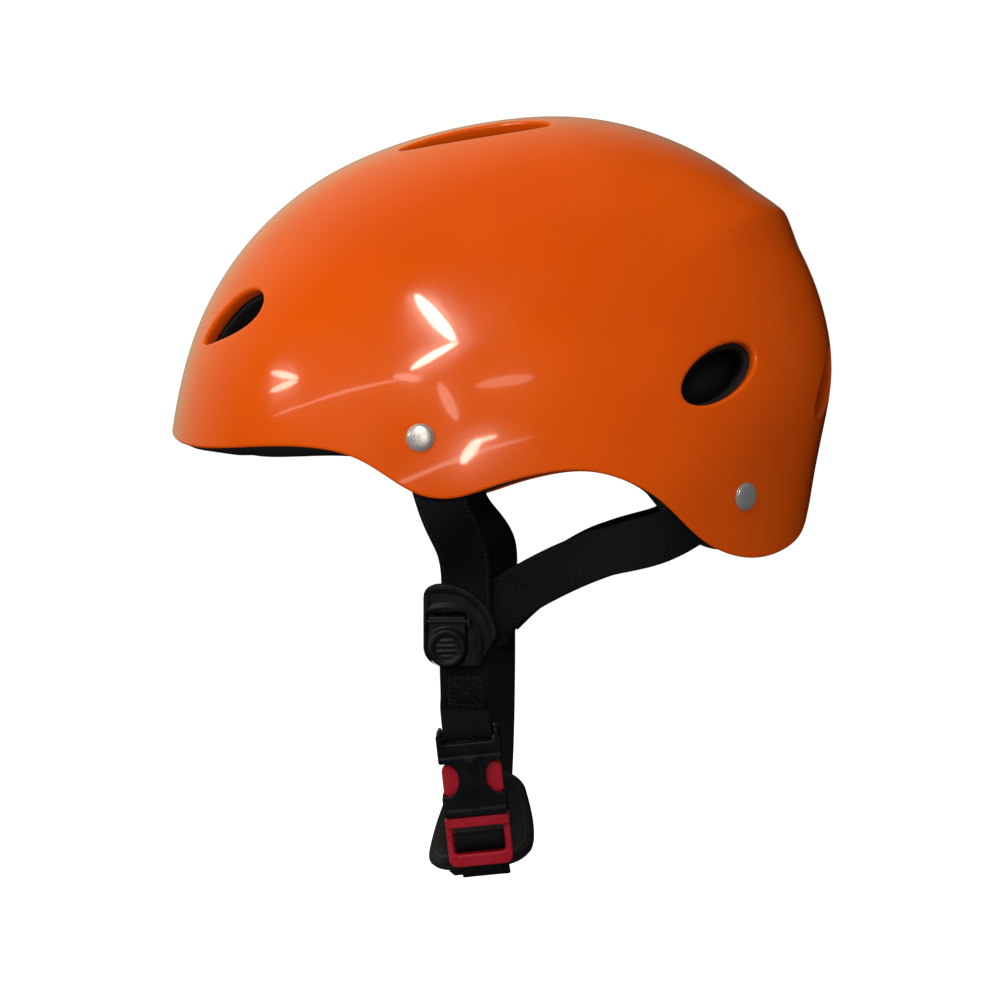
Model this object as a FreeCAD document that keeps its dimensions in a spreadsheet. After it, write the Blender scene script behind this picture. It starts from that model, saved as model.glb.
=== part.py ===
"""Water helmet: an injection-moulded shell with lipped vents over a foam liner, comfort pads on
hook patches, a four-point webbing harness with cam-lock adjusters, a side-release buckle and a
padded chin strap.

Frame: the wearer faces -Y, their left is +X, +Z is up. The origin is the centre of the head
opening, at brow level, on the plane of symmetry. Millimetres.
"""
import FreeCAD, Part
import math
import os

from FreeCAD import Placement, Rotation, Vector

doc = FreeCAD.newDocument("water_helmet")
sheet = doc.addObject("Spreadsheet::Sheet", "dims")

DIMENSIONS = {
    # shell and liner
    "half_width": 109,
    "side_power": 2.4,
    "pole_rear": 10,
    "pole_below": 50,
    "shell_wall": 2.2,
    "lip_depth": 5.5,
    "lip_wall": 1.8,
    "liner_gap": 0.4,
    "liner_wall": 18,
    "hook_wall": 1.2,
    "pad_gap": 0.2,
    "pad_wall": 7.5,
    # webbing
    "webbing_width": 20,
    "webbing_thick": 1.3,
    "layer_pitch": 1.7,
    # rivets
    "rivet_head_radius": 5.6,
    "rivet_head_rise": 1.9,
    "rivet_shank_radius": 2.4,
    "rivet_length": 7.4,
    "rivet_tail_radius": 3.6,
    "washer_radius": 6.5,
    "washer_wall": 1,
    # strap adjusters
    "adjuster_reach": 80,
    "adjuster_depth": 9.8,
    "channel_depth": 6.2,
    "lever_width": 15.4,
    "lever_rise": 2.8,
    "lever_pin_radius": 1,
    "swing_left": -12,
    "swing_right": -6.5,
    "swing_height": -80,
    # side-release buckle
    "buckle_half_width": 13,
    "socket_length": 36,
    "socket_depth": 9.5,
    "socket_bore": 5.8,
    "plug_frame_length": 21.5,
    "plug_frame_depth": 5.2,
    "prong_depth": 4.8,
    # chin pad
    "chin_pad_width": 43,
    "chin_pad_wall": 7,
}
for row, (alias, value) in enumerate(DIMENSIONS.items(), start=1):
    sheet.set(f"A{row}", alias)
    sheet.set(f"B{row}", str(value))
    sheet.setAlias(f"B{row}", alias)
doc.recompute()

NODES = []  # every finished sub-part, in the order it is made


def cell(alias):
    return float(sheet.get(alias))


def node(obj, label):
    """Marks a document object as a finished sub-part with that name."""
    obj.Label = label
    NODES.append(obj)
    return obj


# ---------------------------------------------------------------- the dome's shape

HALF_WIDTH = cell("half_width")
POWER = cell("side_power")
POLE_Y = cell("pole_rear")
POLE_Z = -cell("pole_below")

# The dome's outline on the plane of symmetry: angle from the front horizon up and over to the
# rear, and distance from the pole axis, which runs from ear to ear.
PROFILE = [
    (2, 151.6), (15, 156.0), (27.5, 164.0), (38, 172.3), (50, 179.8), (62, 184.2), (74, 185.8),
    (86, 187.9), (98, 190.5), (110, 189.5), (118, 187.0), (126, 181.9), (132, 175.4), (140, 164.9),
    (148, 152.5), (156, 137.4), (164, 126.4), (172, 120.2), (182, 117.2),
]
# The shell's lower edge from brow to nape, seen from the side: (Y, Z).
LOWER_EDGE = [
    (-141, 12), (-136.5, 4.5), (-129, 0.7), (-112, -1), (-70, -1.4), (-54, -5.5), (-39, -14.4),
    (-28, -20), (-15, -21), (-1, -17), (18, -11.8), (37, -10.3), (52, -14), (65, -21),
    (84.4, -38.5), (95, -43.7), (106, -45.2), (117, -42.5), (125, -36.5), (128.5, -28), (131, -18),
]
RIDGE_ANGLE = 126.3  # of the crease across the back
RIDGE_RISE = 3.8
RIDGE_ABOVE, RIDGE_BELOW = 6.0, 5.2  # degrees over which the crease rises and falls
RIDGE_ROUND = 0.7
RIDGE_BEND = 5.0  # degrees that the crease comes forward at 35 degrees to the side
RIDGE_SPREAD = 44  # degrees round the side where it has faded out


def natural_spline(xs, ys):
    """The cubic spline through points whose curvature is zero at both ends, as a function."""
    n = len(xs)
    h = [xs[i + 1] - xs[i] for i in range(n - 1)]
    diagonal, right = [1.0] * n, [0.0] * n
    upper = [0.0] * n
    for i in range(1, n - 1):
        slope = (ys[i + 1] - ys[i]) / h[i] - (ys[i] - ys[i - 1]) / h[i - 1]
        diagonal[i] = 2 * (h[i - 1] + h[i]) - h[i - 1] * upper[i - 1]
        upper[i] = h[i] / diagonal[i]
        right[i] = (6 * slope - h[i - 1] * right[i - 1]) / diagonal[i]
    bend = [0.0] * n
    for i in range(n - 2, 0, -1):
        bend[i] = right[i] - upper[i] * bend[i + 1]

    def at(x):
        i = 0
        while i < n - 2 and x > xs[i + 1]:
            i += 1
        a, b = xs[i + 1] - x, x - xs[i]
        cubic = (bend[i] * a**3 + bend[i + 1] * b**3) / (6 * h[i])
        left = (ys[i] / h[i] - bend[i] * h[i] / 6) * a
        return cubic + left + (ys[i + 1] / h[i] - bend[i + 1] * h[i] / 6) * b

    return at


radius_at = natural_spline([p[0] for p in PROFILE], [p[1] for p in PROFILE])


def base_point(turn, side):
    """The dome without its crease. turn is the angle over the head and side the angle towards an
    ear, in degrees."""
    s, c = math.sin(math.radians(side)), math.cos(math.radians(side))
    rho = (abs(s) ** POWER + abs(c) ** POWER) ** (-1 / POWER)
    reach = radius_at(turn) * rho * c
    a = math.radians(turn)
    return Vector(HALF_WIDTH * rho * s, POLE_Y - reach * math.cos(a), POLE_Z + reach * math.sin(a))


def base_normal(turn, side):
    step = 0.2
    along = base_point(turn + step, side) - base_point(turn - step, side)
    across = base_point(turn, side + step) - base_point(turn, side - step)
    return across.cross(along).normalize()


def crease(turn, side):
    """How far the shell stands out of the smooth dome at the crease across its back."""
    away = turn - (RIDGE_ANGLE - RIDGE_BEND * (side / 35) ** 2)
    reach = RIDGE_ABOVE if away < 0 else RIDGE_BELOW
    rise = max(0.0, 1 - math.hypot(away, RIDGE_ROUND) / reach) ** 1.5
    fade = max(0.0, 1 - (side / RIDGE_SPREAD) ** 2) ** 1.2
    return RIDGE_RISE * rise * fade


def dome_point(turn, side, offset, creased=False):
    """A point offset from the dome, outwards if positive."""
    lift = crease(turn, side) if creased else 0.0
    return base_point(turn, side) + base_normal(turn, side) * (offset + lift)


def place_on_dome(y, z, right=False):
    """The angles of the dome's point that is seen at (y, z) from the side."""
    turn = math.degrees(math.atan2(z - POLE_Z, POLE_Y - y))
    reach = math.hypot(z - POLE_Z, POLE_Y - y)
    low, high = 0.0, 89.0
    for _ in range(50):
        middle = (low + high) / 2
        p = base_point(turn, middle)
        if math.hypot(p.z - POLE_Z, p.y - POLE_Y) > reach:
            low = middle
        else:
            high = middle
    return turn, -low if right else low


def spread(low, high, steps):
    return [low + (high - low) * i / steps for i in range(steps + 1)]


def along_crease(turn, side):
    """A turn moved so that the grid line at RIDGE_ANGLE follows the crease."""
    near = max(0.0, 1 - ((turn - RIDGE_ANGLE) / 50) ** 2) ** 2
    bend = min(1.0, (RIDGE_SPREAD / max(abs(side), 1)) ** 2)
    return turn - RIDGE_BEND * (side / 35) ** 2 * bend * near


def dome_slab(turns, sides, outer, inner, creased=False):
    """A closed solid between two offsets of the dome, over a range of angles."""
    def grid_point(turn, side, offset):
        if not creased:
            return dome_point(turn, side, offset)
        return dome_point(along_crease(turn, side), side, offset, True)

    def skin(offset):
        surface = Part.BSplineSurface()
        surface.interpolate([[grid_point(t, s, offset) for s in sides] for t in turns])
        return surface

    top, bottom = skin(outer), skin(inner)
    faces = [top.toShape(), bottom.toShape()]
    for u_fixed in (True, False):
        for last in (False, True):
            edges = []
            for surface in (top, bottom):
                u0, u1, v0, v1 = surface.bounds()
                iso = surface.uIso(u1 if last else u0) if u_fixed else surface.vIso(v1 if last else v0)
                edges.append(iso.toShape())
            faces.append(Part.makeRuledSurface(*edges))
    shell = Part.Shell(faces)
    shell.sewShape()
    solid = Part.makeSolid(shell)
    if solid.Volume < 0:
        solid.reverse()
    return solid


FULL_TURNS = (spread(4, 100, 24) + spread(104, 116, 3) + spread(119.3, RIDGE_ANGLE, 5)
              + spread(RIDGE_ANGLE + 1.4, 134.7, 5) + spread(138, 181, 11))
SMOOTH_TURNS = spread(4, 181, 36)
FULL_SIDES = spread(-80, 80, 40)


def edge_curve(drop):
    """The lower edge as one smooth curve. drop(y) moves it down."""
    ys, zs = [p[0] for p in LOWER_EDGE], [p[1] for p in LOWER_EDGE]
    run = [0.0]
    for i in range(1, len(ys)):
        run.append(run[-1] + math.hypot(ys[i] - ys[i - 1], zs[i] - zs[i - 1]))
    y_at, z_at = natural_spline(run, ys), natural_spline(run, zs)
    points = [Vector(-140, y_at(s), z_at(s) - drop(y_at(s))) for s in spread(0, run[-1], 80)]
    curve = Part.BSplineCurve()
    curve.interpolate(points)
    return curve.toShape(), points[0], points[-1]


def above_edge(drop=lambda y: 0.0):
    """Everything above the lower edge, as one prism from ear to ear."""
    curve, front, rear = edge_curve(drop)
    corners = [rear, Vector(-140, 175, rear.z), Vector(-140, 175, 175), Vector(-140, -175, 175),
               Vector(-140, -175, front.z), front]
    wire = Part.Wire([curve] + [Part.makeLine(a, b) for a, b in zip(corners, corners[1:])])
    return Part.Face(wire).extrude(Vector(280, 0, 0))


def frame_at(point, out, up):
    """A placement whose z axis is out and whose y axis is near up."""
    return Placement(point, Rotation(Vector(), up, out, "ZYX"))


def feature(name, shape):
    obj = doc.addObject("Part::Feature", name)
    obj.Shape = shape
    return obj


# ---------------------------------------------------------------- vents

# Each pair: the two ends of the long axis as (Y, Z), the half width, and the taper towards the
# first end.
VENTS = {
    "brow": {"ends": ((-121.9, 43.4), (-96.3, 60.8)), "half_width": 7.9, "taper": 0.42},
    "temple": {"ends": ((76.5, 18.7), (103.8, 38.5)), "half_width": 9.6, "taper": 0.0},
    "nape": {"ends": ((134.0, 13.5), (139.2, 40.0)), "half_width": 9.0, "taper": 0.0},
    "crown": {"ends": ((-41.0, 124.8), (21.0, 135.3)), "half_width": 7.5, "taper": 0.12},
}


def vent_frame(vent, right):
    """The middle of a vent on the dome, the directions along and across it and out of it, and
    its half length."""
    first, last = (dome_point(*place_on_dome(y, z, right), 0) for y, z in vent["ends"])
    middle = (first + last) * 0.5
    turn, side = place_on_dome(middle.y, middle.z, right)
    out = base_normal(turn, side)
    along = last - first
    along = (along - out * along.dot(out)).normalize()
    return dome_point(turn, side, 0), along, out.cross(along), out, (last - first).Length / 2


def vent_prism(vent, right, margin):
    """The space through a vent, wider than its outline by margin."""
    middle, along, across, out, half = vent_frame(vent, right)
    points = []
    for i in range(32):
        a = 2 * math.pi * i / 32
        u, v = math.cos(a), math.sin(a)
        width = vent["half_width"] * (1 + vent["taper"] * u) + margin
        points.append(middle + along * ((half + margin) * u) + across * (width * v) + out * 14)
    curve = Part.BSplineCurve()
    curve.interpolate(points, PeriodicFlag=True)
    return Part.Face(Part.Wire(curve.toShape())).extrude(out * -56)


# ---------------------------------------------------------------- shell, liner and pads

SHELL_WALL = cell("shell_wall")
LINER_OUT = -(SHELL_WALL + cell("liner_gap"))
LINER_IN = LINER_OUT - cell("liner_wall")
HOOK_OUT = LINER_IN - 0.05
PAD_OUT = LINER_IN - cell("hook_wall") - cell("pad_gap")
PAD_IN = PAD_OUT - cell("pad_wall")
SIDES = (False, True)  # left, right

shell = dome_slab(FULL_TURNS, FULL_SIDES, 0, -SHELL_WALL, creased=True).common(above_edge())
lip_stock = dome_slab(SMOOTH_TURNS, FULL_SIDES, -0.9, -cell("lip_depth")).common(above_edge())
for vent in VENTS.values():
    for right in SIDES:
        lip = lip_stock.common(vent_prism(vent, right, cell("lip_wall")))
        shell = shell.fuse(lip)
for vent in VENTS.values():
    for right in SIDES:
        shell = shell.cut(vent_prism(vent, right, 0))

RIVETS = {"front": (-28.3, 2.7), "rear": (100.2, -20.5)}  # (Y, Z) of each rivet from the side
WASHER_DEPTH = {"front": 6.4, "rear": 6.3}  # of its far face under the shell's outside


def rivet_frame(where, right):
    """The rivet's point on the shell and the shell's normal there."""
    turn, side = place_on_dome(*RIVETS[where], right)
    return dome_point(turn, side, 0), base_normal(turn, side)


for where in RIVETS:
    for right in SIDES:
        point, out = rivet_frame(where, right)
        hole = Part.makeCylinder(cell("rivet_shank_radius") + 0.05, 20, point - out * 10, out)
        shell = shell.cut(hole)
node(feature("outer_shell", shell), "outer_shell")


def liner_drop(y):
    """The liner stands 1 mm below the shell at the brow and 2 mm inside it elsewhere."""
    t = min(1.0, max(0.0, (y + 78) / 20))
    return 1.0 - 3.0 * t * t * (3 - 2 * t)


BLIND_DEPTH = 15.0  # of the temple vents' recesses, which stop inside the liner
STRAP_ENDS = {"front": (-19.0, -26.0), "rear": (70.0, -36.0)}  # where each strap leaves the shell


def strap_pocket(where, right):
    """The recess in the liner that a strap's end and its rivet lie in."""
    point, out = rivet_frame(where, right)
    y, z = STRAP_ENDS[where]
    below = dome_point(*place_on_dome(y, z, right), 0)
    down = below - point
    down = (down - out * down.dot(out)).normalize()
    pocket = Part.makeBox(cell("webbing_width") + 5, 62, 30)
    pocket.translate(Vector(-(cell("webbing_width") + 5) / 2, -50, -9.2))
    pocket.Placement = frame_at(point, out, down * -1).multiply(pocket.Placement)
    return pocket


liner = dome_slab(SMOOTH_TURNS, FULL_SIDES, LINER_OUT, LINER_IN).common(above_edge(liner_drop))
lip_room = dome_slab(SMOOTH_TURNS, FULL_SIDES, 4, -cell("lip_depth") - 0.5)
blind_room = dome_slab(SMOOTH_TURNS, FULL_SIDES, 4, -BLIND_DEPTH)
for vent in VENTS.values():
    for right in SIDES:
        liner = liner.cut(lip_room.common(vent_prism(vent, right, cell("lip_wall") + 0.5)))
        channel = vent_prism(vent, right, -1.6)
        if vent is VENTS["temple"]:
            channel = channel.common(blind_room)
        liner = liner.cut(channel)
for where in RIVETS:
    for right in SIDES:
        liner = liner.cut(strap_pocket(where, right))
node(feature("eva_liner", liner), "eva_liner")

# Comfort pads: range of turn and of side angle that each covers.
PADS = {
    "brow_pad": ((25.5, 36), (-40, 40)),
    "crown_pad": ((68, 112), (-5.6, 5.6)),
    "side_pad_left": ((62, 116), (52, 68)),
    "side_pad_right": ((62, 116), (-68, -52)),
    "nape_pad": ((156.5, 166.5), (-38, 38)),
}
HOOK_SHARE = (0.2, 0.5, 0.8)  # where the hook patches lie along each pad
hook_solids = []
for name, (turns, sides) in PADS.items():
    pad = dome_slab(spread(*turns, 10), spread(*sides, 10), PAD_OUT, PAD_IN)
    node(feature(name, pad), name)
    for share in HOOK_SHARE:
        if sides[1] - sides[0] > 30:
            middle = sides[0] + share * (sides[1] - sides[0])
            t0, t1 = turns[0] + 2.5, turns[1] - 2.5
            s0, s1 = middle - 4.5, middle + 4.5
        else:
            middle = turns[0] + share * (turns[1] - turns[0])
            t0, t1 = middle - 4, middle + 4
            s0, s1 = sides[0] + 1.5, sides[1] - 1.5
        patch = dome_slab(spread(t0, t1, 4), spread(s0, s1, 4), HOOK_OUT, HOOK_OUT - cell("hook_wall"))
        hook_solids.append(patch)
node(feature("hook_patches", Part.makeCompound(hook_solids)), "hook_patches")


# ---------------------------------------------------------------- rivets and washers

def side_name(right):
    return "right" if right else "left"


for where in RIVETS:
    for right in SIDES:
        label = f"{where}_rivet_{side_name(right)}"
        point, out = rivet_frame(where, right)
        body = doc.addObject("PartDesign::Body", label)
        sketch = body.newObject("Sketcher::SketchObject", label + "_profile")
        plane = [f for f in body.Origin.OriginFeatures if f.Role == "XZ_Plane"][0]
        sketch.AttachmentSupport = [(plane, "")]
        sketch.MapMode = "FlatFace"
        head, rise = cell("rivet_head_radius"), cell("rivet_head_rise")
        shank, tail = cell("rivet_shank_radius"), cell("rivet_tail_radius")
        end = -cell("rivet_length")
        rim, seat = 0.6, 0.05
        crown = Vector(0, rise, 0)
        corners = [(head, rim), (head, seat), (shank, seat), (shank, end + 0.8), (tail, end + 0.7),
                   (tail - 0.5, end), (0, end)]
        corners = [Vector(x, y, 0) for x, y in corners]
        middle = Vector(head * 0.62, rise - 0.28, 0)
        sketch.addGeometry(Part.Arc(crown, middle, corners[0]), False)
        for a, b in zip(corners, corners[1:] + [crown]):
            sketch.addGeometry(Part.LineSegment(a, b), False)
        turned = body.newObject("PartDesign::Revolution", label + "_turned")
        turned.Profile = sketch
        turned.ReferenceAxis = (sketch, ["V_Axis"])
        turned.Angle = 360
        body.Placement = Placement(point, Rotation(Vector(0, 0, 1), out))
        node(body, label)

        name = f"{where}_washer_{side_name(right)}"
        disc = doc.addObject("Part::Cylinder", name + "_disc")
        disc.setExpression("Radius", "dims.washer_radius")
        disc.setExpression("Height", "dims.washer_wall")
        hole = doc.addObject("Part::Cylinder", name + "_hole")
        hole.setExpression("Radius", "dims.rivet_shank_radius + 0.05")
        hole.setExpression("Height", "dims.washer_wall")
        washer = doc.addObject("Part::Cut", name)
        washer.Base, washer.Tool = disc, hole
        washer.Placement = Placement(point - out * WASHER_DEPTH[where], Rotation(Vector(0, 0, 1), out))
        node(washer, name)


# ---------------------------------------------------------------- webbing

def ribbon(name, stations):
    """Webbing lofted through stations of (centre, direction it runs, direction it faces)."""
    width, thick = cell("webbing_width"), cell("webbing_thick")
    sections = []
    for i, (centre, run, facing) in enumerate(stations):
        run = Vector(run).normalize()
        facing = (facing - run * facing.dot(run)).normalize()
        across = facing.cross(run)
        section = doc.addObject("Part::Plane", f"{name}_section{i}")
        section.setExpression("Length", "dims.webbing_width")
        section.setExpression("Width", "dims.webbing_thick")
        corner = centre - across * (width / 2) - facing * (thick / 2)
        section.Placement = Placement(corner, Rotation(across, facing, run, "ZXY"))
        sections.append(section)
    loft = doc.addObject("Part::Loft", name)
    loft.Sections = sections
    loft.Solid = True
    loft.Ruled = False
    return loft


def swing_y(right):
    """How far back the lower webbing is held on each side; the right adjuster hangs further back."""
    return cell("swing_right") if right else cell("swing_left")


REACH = cell("adjuster_reach")
SWING_Z = cell("swing_height")
LAYER = cell("layer_pitch")
STRAP_GAP = {"front": 1.1, "rear": 1.05}  # from the shell's inside to the middle of the webbing's face
TUCK = 9.0  # how far a strap's end reaches past its rivet


def on_wall(where, y, z, right):
    """The centre of webbing that lies against the inside of the shell."""
    turn, side = place_on_dome(y, z, right)
    depth = SHELL_WALL + STRAP_GAP[where] + cell("webbing_thick") / 2
    return dome_point(turn, side, -depth), base_normal(turn, side)


def strap(where, right, free):
    """A strap from its rivet to its adjuster. free lists the centres in the open, with the way
    each faces."""
    y, z = RIVETS[where]
    ey, ez = STRAP_ENDS[where]
    length = math.hypot(ey - y, ez - z)
    stations = []
    for share in (-TUCK / length, 0, 0.5, 1.0):
        stations.append(on_wall(where, y + (ey - y) * share, z + (ez - z) * share, right))
    stations += free
    runs = []
    for i in range(len(stations)):
        a = stations[max(0, i - 1)][0]
        b = stations[min(len(stations) - 1, i + 1)][0]
        runs.append(b - a)
    name = f"{where}_strap_{side_name(right)}"
    loft = ribbon(name + "_web", [(p, r, f) for (p, f), r in zip(stations, runs)])
    point, out = rivet_frame(where, right)
    hole = doc.addObject("Part::Cylinder", name + "_hole")
    hole.setExpression("Radius", "dims.rivet_shank_radius + 0.05")
    hole.Height = 20
    hole.Placement = Placement(point - out * 10, Rotation(Vector(0, 0, 1), out))
    cut = doc.addObject("Part::Cut", name)
    cut.Base, cut.Tool = loft, hole
    return node(cut, name)


for right in SIDES:
    sign = -1 if right else 1
    facing = Vector(sign, 0, 0)
    front_x, rear_x = sign * (REACH + LAYER), sign * (REACH - LAYER)
    hang = swing_y(right)
    strap("front", right, [
        (Vector(sign * 91.2, hang - 0.8, -41), Vector(sign, 0, 0.3)),
        (Vector(front_x - sign * 0.05, hang + 0.7, -57), facing),
        (Vector(front_x, hang + 0.6, -64), facing),
        (Vector(front_x, hang + 0.5, -73), facing),
    ])
    strap("rear", right, [
        (Vector(sign * 90.5, 46, -42.2), Vector(sign, 0.25, 0.35)),
        (Vector(sign * 82.2, hang + 32, -53.0), Vector(sign, 0.12, 0.12)),
        (Vector(rear_x + sign * 0.25, hang + 18.5, -61.2), facing),
        (Vector(rear_x, hang + 11.5, -67), facing),
        (Vector(rear_x, hang + 4, -74.3), facing),
    ])


# ---------------------------------------------------------------- strap adjusters

def outline_sketch(name, edges, placement):
    sketch = doc.addObject("Sketcher::SketchObject", name)
    for edge in edges:
        sketch.addGeometry(edge, False)
    sketch.Placement = placement
    return sketch


def extrusion(name, sketch, length):
    """A prism on a sketch; length is an expression or a number."""
    solid = doc.addObject("Part::Extrusion", name)
    solid.Base = sketch
    solid.DirMode = "Normal"
    if isinstance(length, str):
        solid.setExpression("LengthFwd", length)
    else:
        solid.LengthFwd = length
    solid.Solid = True
    return solid


def cut_of(name, base, *tools):
    """base with each tool cut away in turn."""
    for i, tool in enumerate(tools):
        cut = doc.addObject("Part::Cut", name if i == len(tools) - 1 else f"{name}_cut{i}")
        cut.Base, cut.Tool = base, tool
        base = cut
    return base


def polygon(points):
    points = [Vector(x, y, 0) for x, y in points]
    return [Part.LineSegment(a, b) for a, b in zip(points, points[1:] + points[:1])]


def side_plane(x, right):
    """A sketch plane facing outwards at x, whose origin is on the axis that the lower webbing
    swings about. Its first axis runs towards the nape on the left and is mirrored by the caller
    on the right, and its second runs up."""
    side = -1 if right else 1
    turned = Rotation(Vector(0, side, 0), Vector(0, 0, 1), Vector(side, 0, 0), "ZXY")
    return Placement(Vector(side * x, swing_y(right), SWING_Z), turned)


FAN_CENTRE = (-9.0, 2.0)  # of the round rim, from the swing axis
FAN_RADIUS = 22.5
FAN_FRONT, FAN_LOW = -16.3, -8.5


def fan_edges(mirror):
    """The housing's outline: a quarter fan whose round rim takes the two upper straps."""
    cy, cz = FAN_CENTRE

    def on_rim(angle):
        a = math.radians(angle)
        return (cy + FAN_RADIUS * math.cos(a), cz + FAN_RADIUS * math.sin(a))

    top, rim_middle, rim_end = on_rim(98), on_rim(52), on_rim(6)
    shoulder = (FAN_FRONT, cz + 17.0)
    shoulder_middle = (FAN_FRONT + 1.2, cz + 20.6)
    foot = (cy + 15.0, FAN_LOW)
    heel = (FAN_FRONT + 8.0, FAN_LOW)
    heel_middle = (FAN_FRONT + 2.3, FAN_LOW + 2.3)
    hip = (FAN_FRONT, FAN_LOW + 8.0)

    def v(p):
        return Vector(-p[0] if mirror else p[0], p[1], 0)

    return [
        Part.Arc(v(top), v(rim_middle), v(rim_end)),
        Part.LineSegment(v(rim_end), v(foot)),
        Part.LineSegment(v(foot), v(heel)),
        Part.Arc(v(heel), v(heel_middle), v(hip)),
        Part.LineSegment(v(hip), v(shoulder)),
        Part.Arc(v(shoulder), v(shoulder_middle), v(top)),
    ]


def channel_edges(mirror):
    """The strap channel: open at the rim and the foot, closed along the front side."""
    points = [(-12.3, 30), (25, 30), (25, -15), (-16, -15), (-15, -9), (-12.3, 1)]
    if mirror:
        points = [(-y, z) for y, z in points]
    return polygon(points)


LEVER_TOP, LEVER_LOW = 9.5, -8.8  # heights of the lever's pin and its thumb end
LEVER_Y = -6.8
EAR_WALL = 1.3


def lever_edges(mirror, margin=0.0, headroom=0.0):
    """The cam lever's outline: square at its pin and round at its thumb end."""
    half = cell("lever_width") / 2 + margin
    y = -LEVER_Y if mirror else LEVER_Y
    low = LEVER_LOW + cell("lever_width") / 2
    top = LEVER_TOP + 2.2 + headroom
    right_low, left_low = Vector(y + half, low, 0), Vector(y - half, low, 0)
    return [
        Part.LineSegment(left_low, Vector(y - half, top, 0)),
        Part.LineSegment(Vector(y - half, top, 0), Vector(y + half, top, 0)),
        Part.LineSegment(Vector(y + half, top, 0), right_low),
        Part.Arc(right_low, Vector(y, low - half, 0), left_low),
    ]


PIN_X = REACH + cell("adjuster_depth") / 2 + 0.5  # the lever's pin stands in two ears
for right in SIDES:
    sign = -1 if right else 1
    side = side_name(right)
    lever_y, pin_z = swing_y(right) + LEVER_Y, SWING_Z + LEVER_TOP
    depth, channel = cell("adjuster_depth"), cell("channel_depth")
    inner_plane = side_plane(REACH - depth / 2, right)
    fan = extrusion(f"fan_{side}", outline_sketch(f"fan_outline_{side}", fan_edges(right), inner_plane),
                    "dims.adjuster_depth")
    channel_plane = side_plane(REACH - channel / 2, right)
    hollow = extrusion(f"channel_{side}",
                       outline_sketch(f"channel_outline_{side}", channel_edges(right), channel_plane),
                       "dims.channel_depth")
    window_plane = side_plane(REACH + channel / 2 - 0.1, right)
    window_outline = outline_sketch(f"window_outline_{side}", lever_edges(right, 0.4, 1.2), window_plane)
    window = extrusion(f"window_{side}", window_outline, 12)
    ears = doc.addObject("Part::Box", f"ears_{side}")
    ear_span = cell("lever_width") + 2 * (0.4 + EAR_WALL)
    ears.Length, ears.Width, ears.Height = 3.2, ear_span, 4.6
    ears_x = sign * (REACH + depth / 2 + 0.8) - 1.6
    ears.Placement = Placement(Vector(ears_x, lever_y - ear_span / 2, pin_z - 2.3), Rotation())
    blank = doc.addObject("Part::Fuse", f"blank_{side}")
    blank.Base, blank.Tool = fan, ears
    pin_hole = doc.addObject("Part::Cylinder", f"pin_hole_{side}")
    pin_hole.setExpression("Radius", "dims.lever_pin_radius")
    pin_hole.Height = ear_span + 2
    pin_hole.Placement = Placement(Vector(sign * PIN_X, lever_y - ear_span / 2 - 1, pin_z),
                                   Rotation(Vector(0, 0, 1), Vector(0, 1, 0)))
    node(cut_of(f"adjuster_body_{side}", blank, hollow, window, pin_hole), f"adjuster_body_{side}")

    pin = doc.addObject("Part::Cylinder", f"adjuster_pin_{side}")
    pin.setExpression("Radius", "dims.lever_pin_radius - 0.01")
    pin.Height = ear_span
    pin.Placement = Placement(Vector(sign * PIN_X, lever_y - ear_span / 2, pin_z),
                              Rotation(Vector(0, 0, 1), Vector(0, 1, 0)))
    node(pin, f"adjuster_pin_{side}")

    lever_plane = side_plane(REACH + channel / 2 + 0.3, right)
    blade = extrusion(f"lever_blade_{side}",
                      outline_sketch(f"lever_outline_{side}", lever_edges(right), lever_plane),
                      "(dims.adjuster_depth - dims.channel_depth) / 2 + dims.lever_rise - 0.3")
    bore = doc.addObject("Part::Cylinder", f"lever_bore_{side}")
    bore.setExpression("Radius", "dims.lever_pin_radius + 0.05")
    bore.Height = ear_span
    bore.Placement = pin.Placement
    relief = doc.addObject("Part::Box", f"lever_relief_{side}")
    relief.Length, relief.Width, relief.Height = 2.4, ear_span, 4
    relief_x = sign * (REACH + channel / 2 + 0.1) - 1.2
    relief.Placement = Placement(Vector(relief_x, lever_y - ear_span / 2, pin_z + 0.2), Rotation())
    node(cut_of(f"adjuster_lever_{side}", blade, bore, relief), f"adjuster_lever_{side}")


# ---------------------------------------------------------------- buckle

# The buckle hangs in line with its strap. Its own axes: x towards the nape, y up the strap, z out.
BUCKLE_AT = Vector(63.6, -7.9, -149.2)  # the middle of the seam between socket and plug
UP = Vector(0.165, -0.1, 0.98).normalize()
OUT = (Vector(1, 0, 0) - UP * UP.x).normalize()
ACROSS = UP.cross(OUT)
BUCKLE = Placement(BUCKLE_AT, Rotation(ACROSS, UP, OUT, "ZXY"))


def body_with_plane(label):
    body = doc.addObject("PartDesign::Body", label)
    plane = [f for f in body.Origin.OriginFeatures if f.Role == "XY_Plane"][0]
    return body, plane


def flat_sketch(body, plane, name, edges, height=0.0):
    sketch = body.newObject("Sketcher::SketchObject", name)
    sketch.AttachmentSupport = [(plane, "")]
    sketch.MapMode = "FlatFace"
    sketch.AttachmentOffset = Placement(Vector(0, 0, height), Rotation())
    for edge in edges:
        sketch.addGeometry(edge, False)
    return sketch


def pad(body, name, sketch, length, both=True):
    made = body.newObject("PartDesign::Pad", name)
    made.Profile = sketch
    made.Midplane = both
    if isinstance(length, str):
        made.setExpression("Length", length)
    else:
        made.Length = length
    body.Tip = made
    return made


def pocket(body, name, sketch, length, both=True):
    made = body.newObject("PartDesign::Pocket", name)
    made.Profile = sketch
    made.Midplane = both
    if isinstance(length, str):
        made.setExpression("Length", length)
    else:
        made.Length = length
    body.Tip = made
    return made


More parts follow.
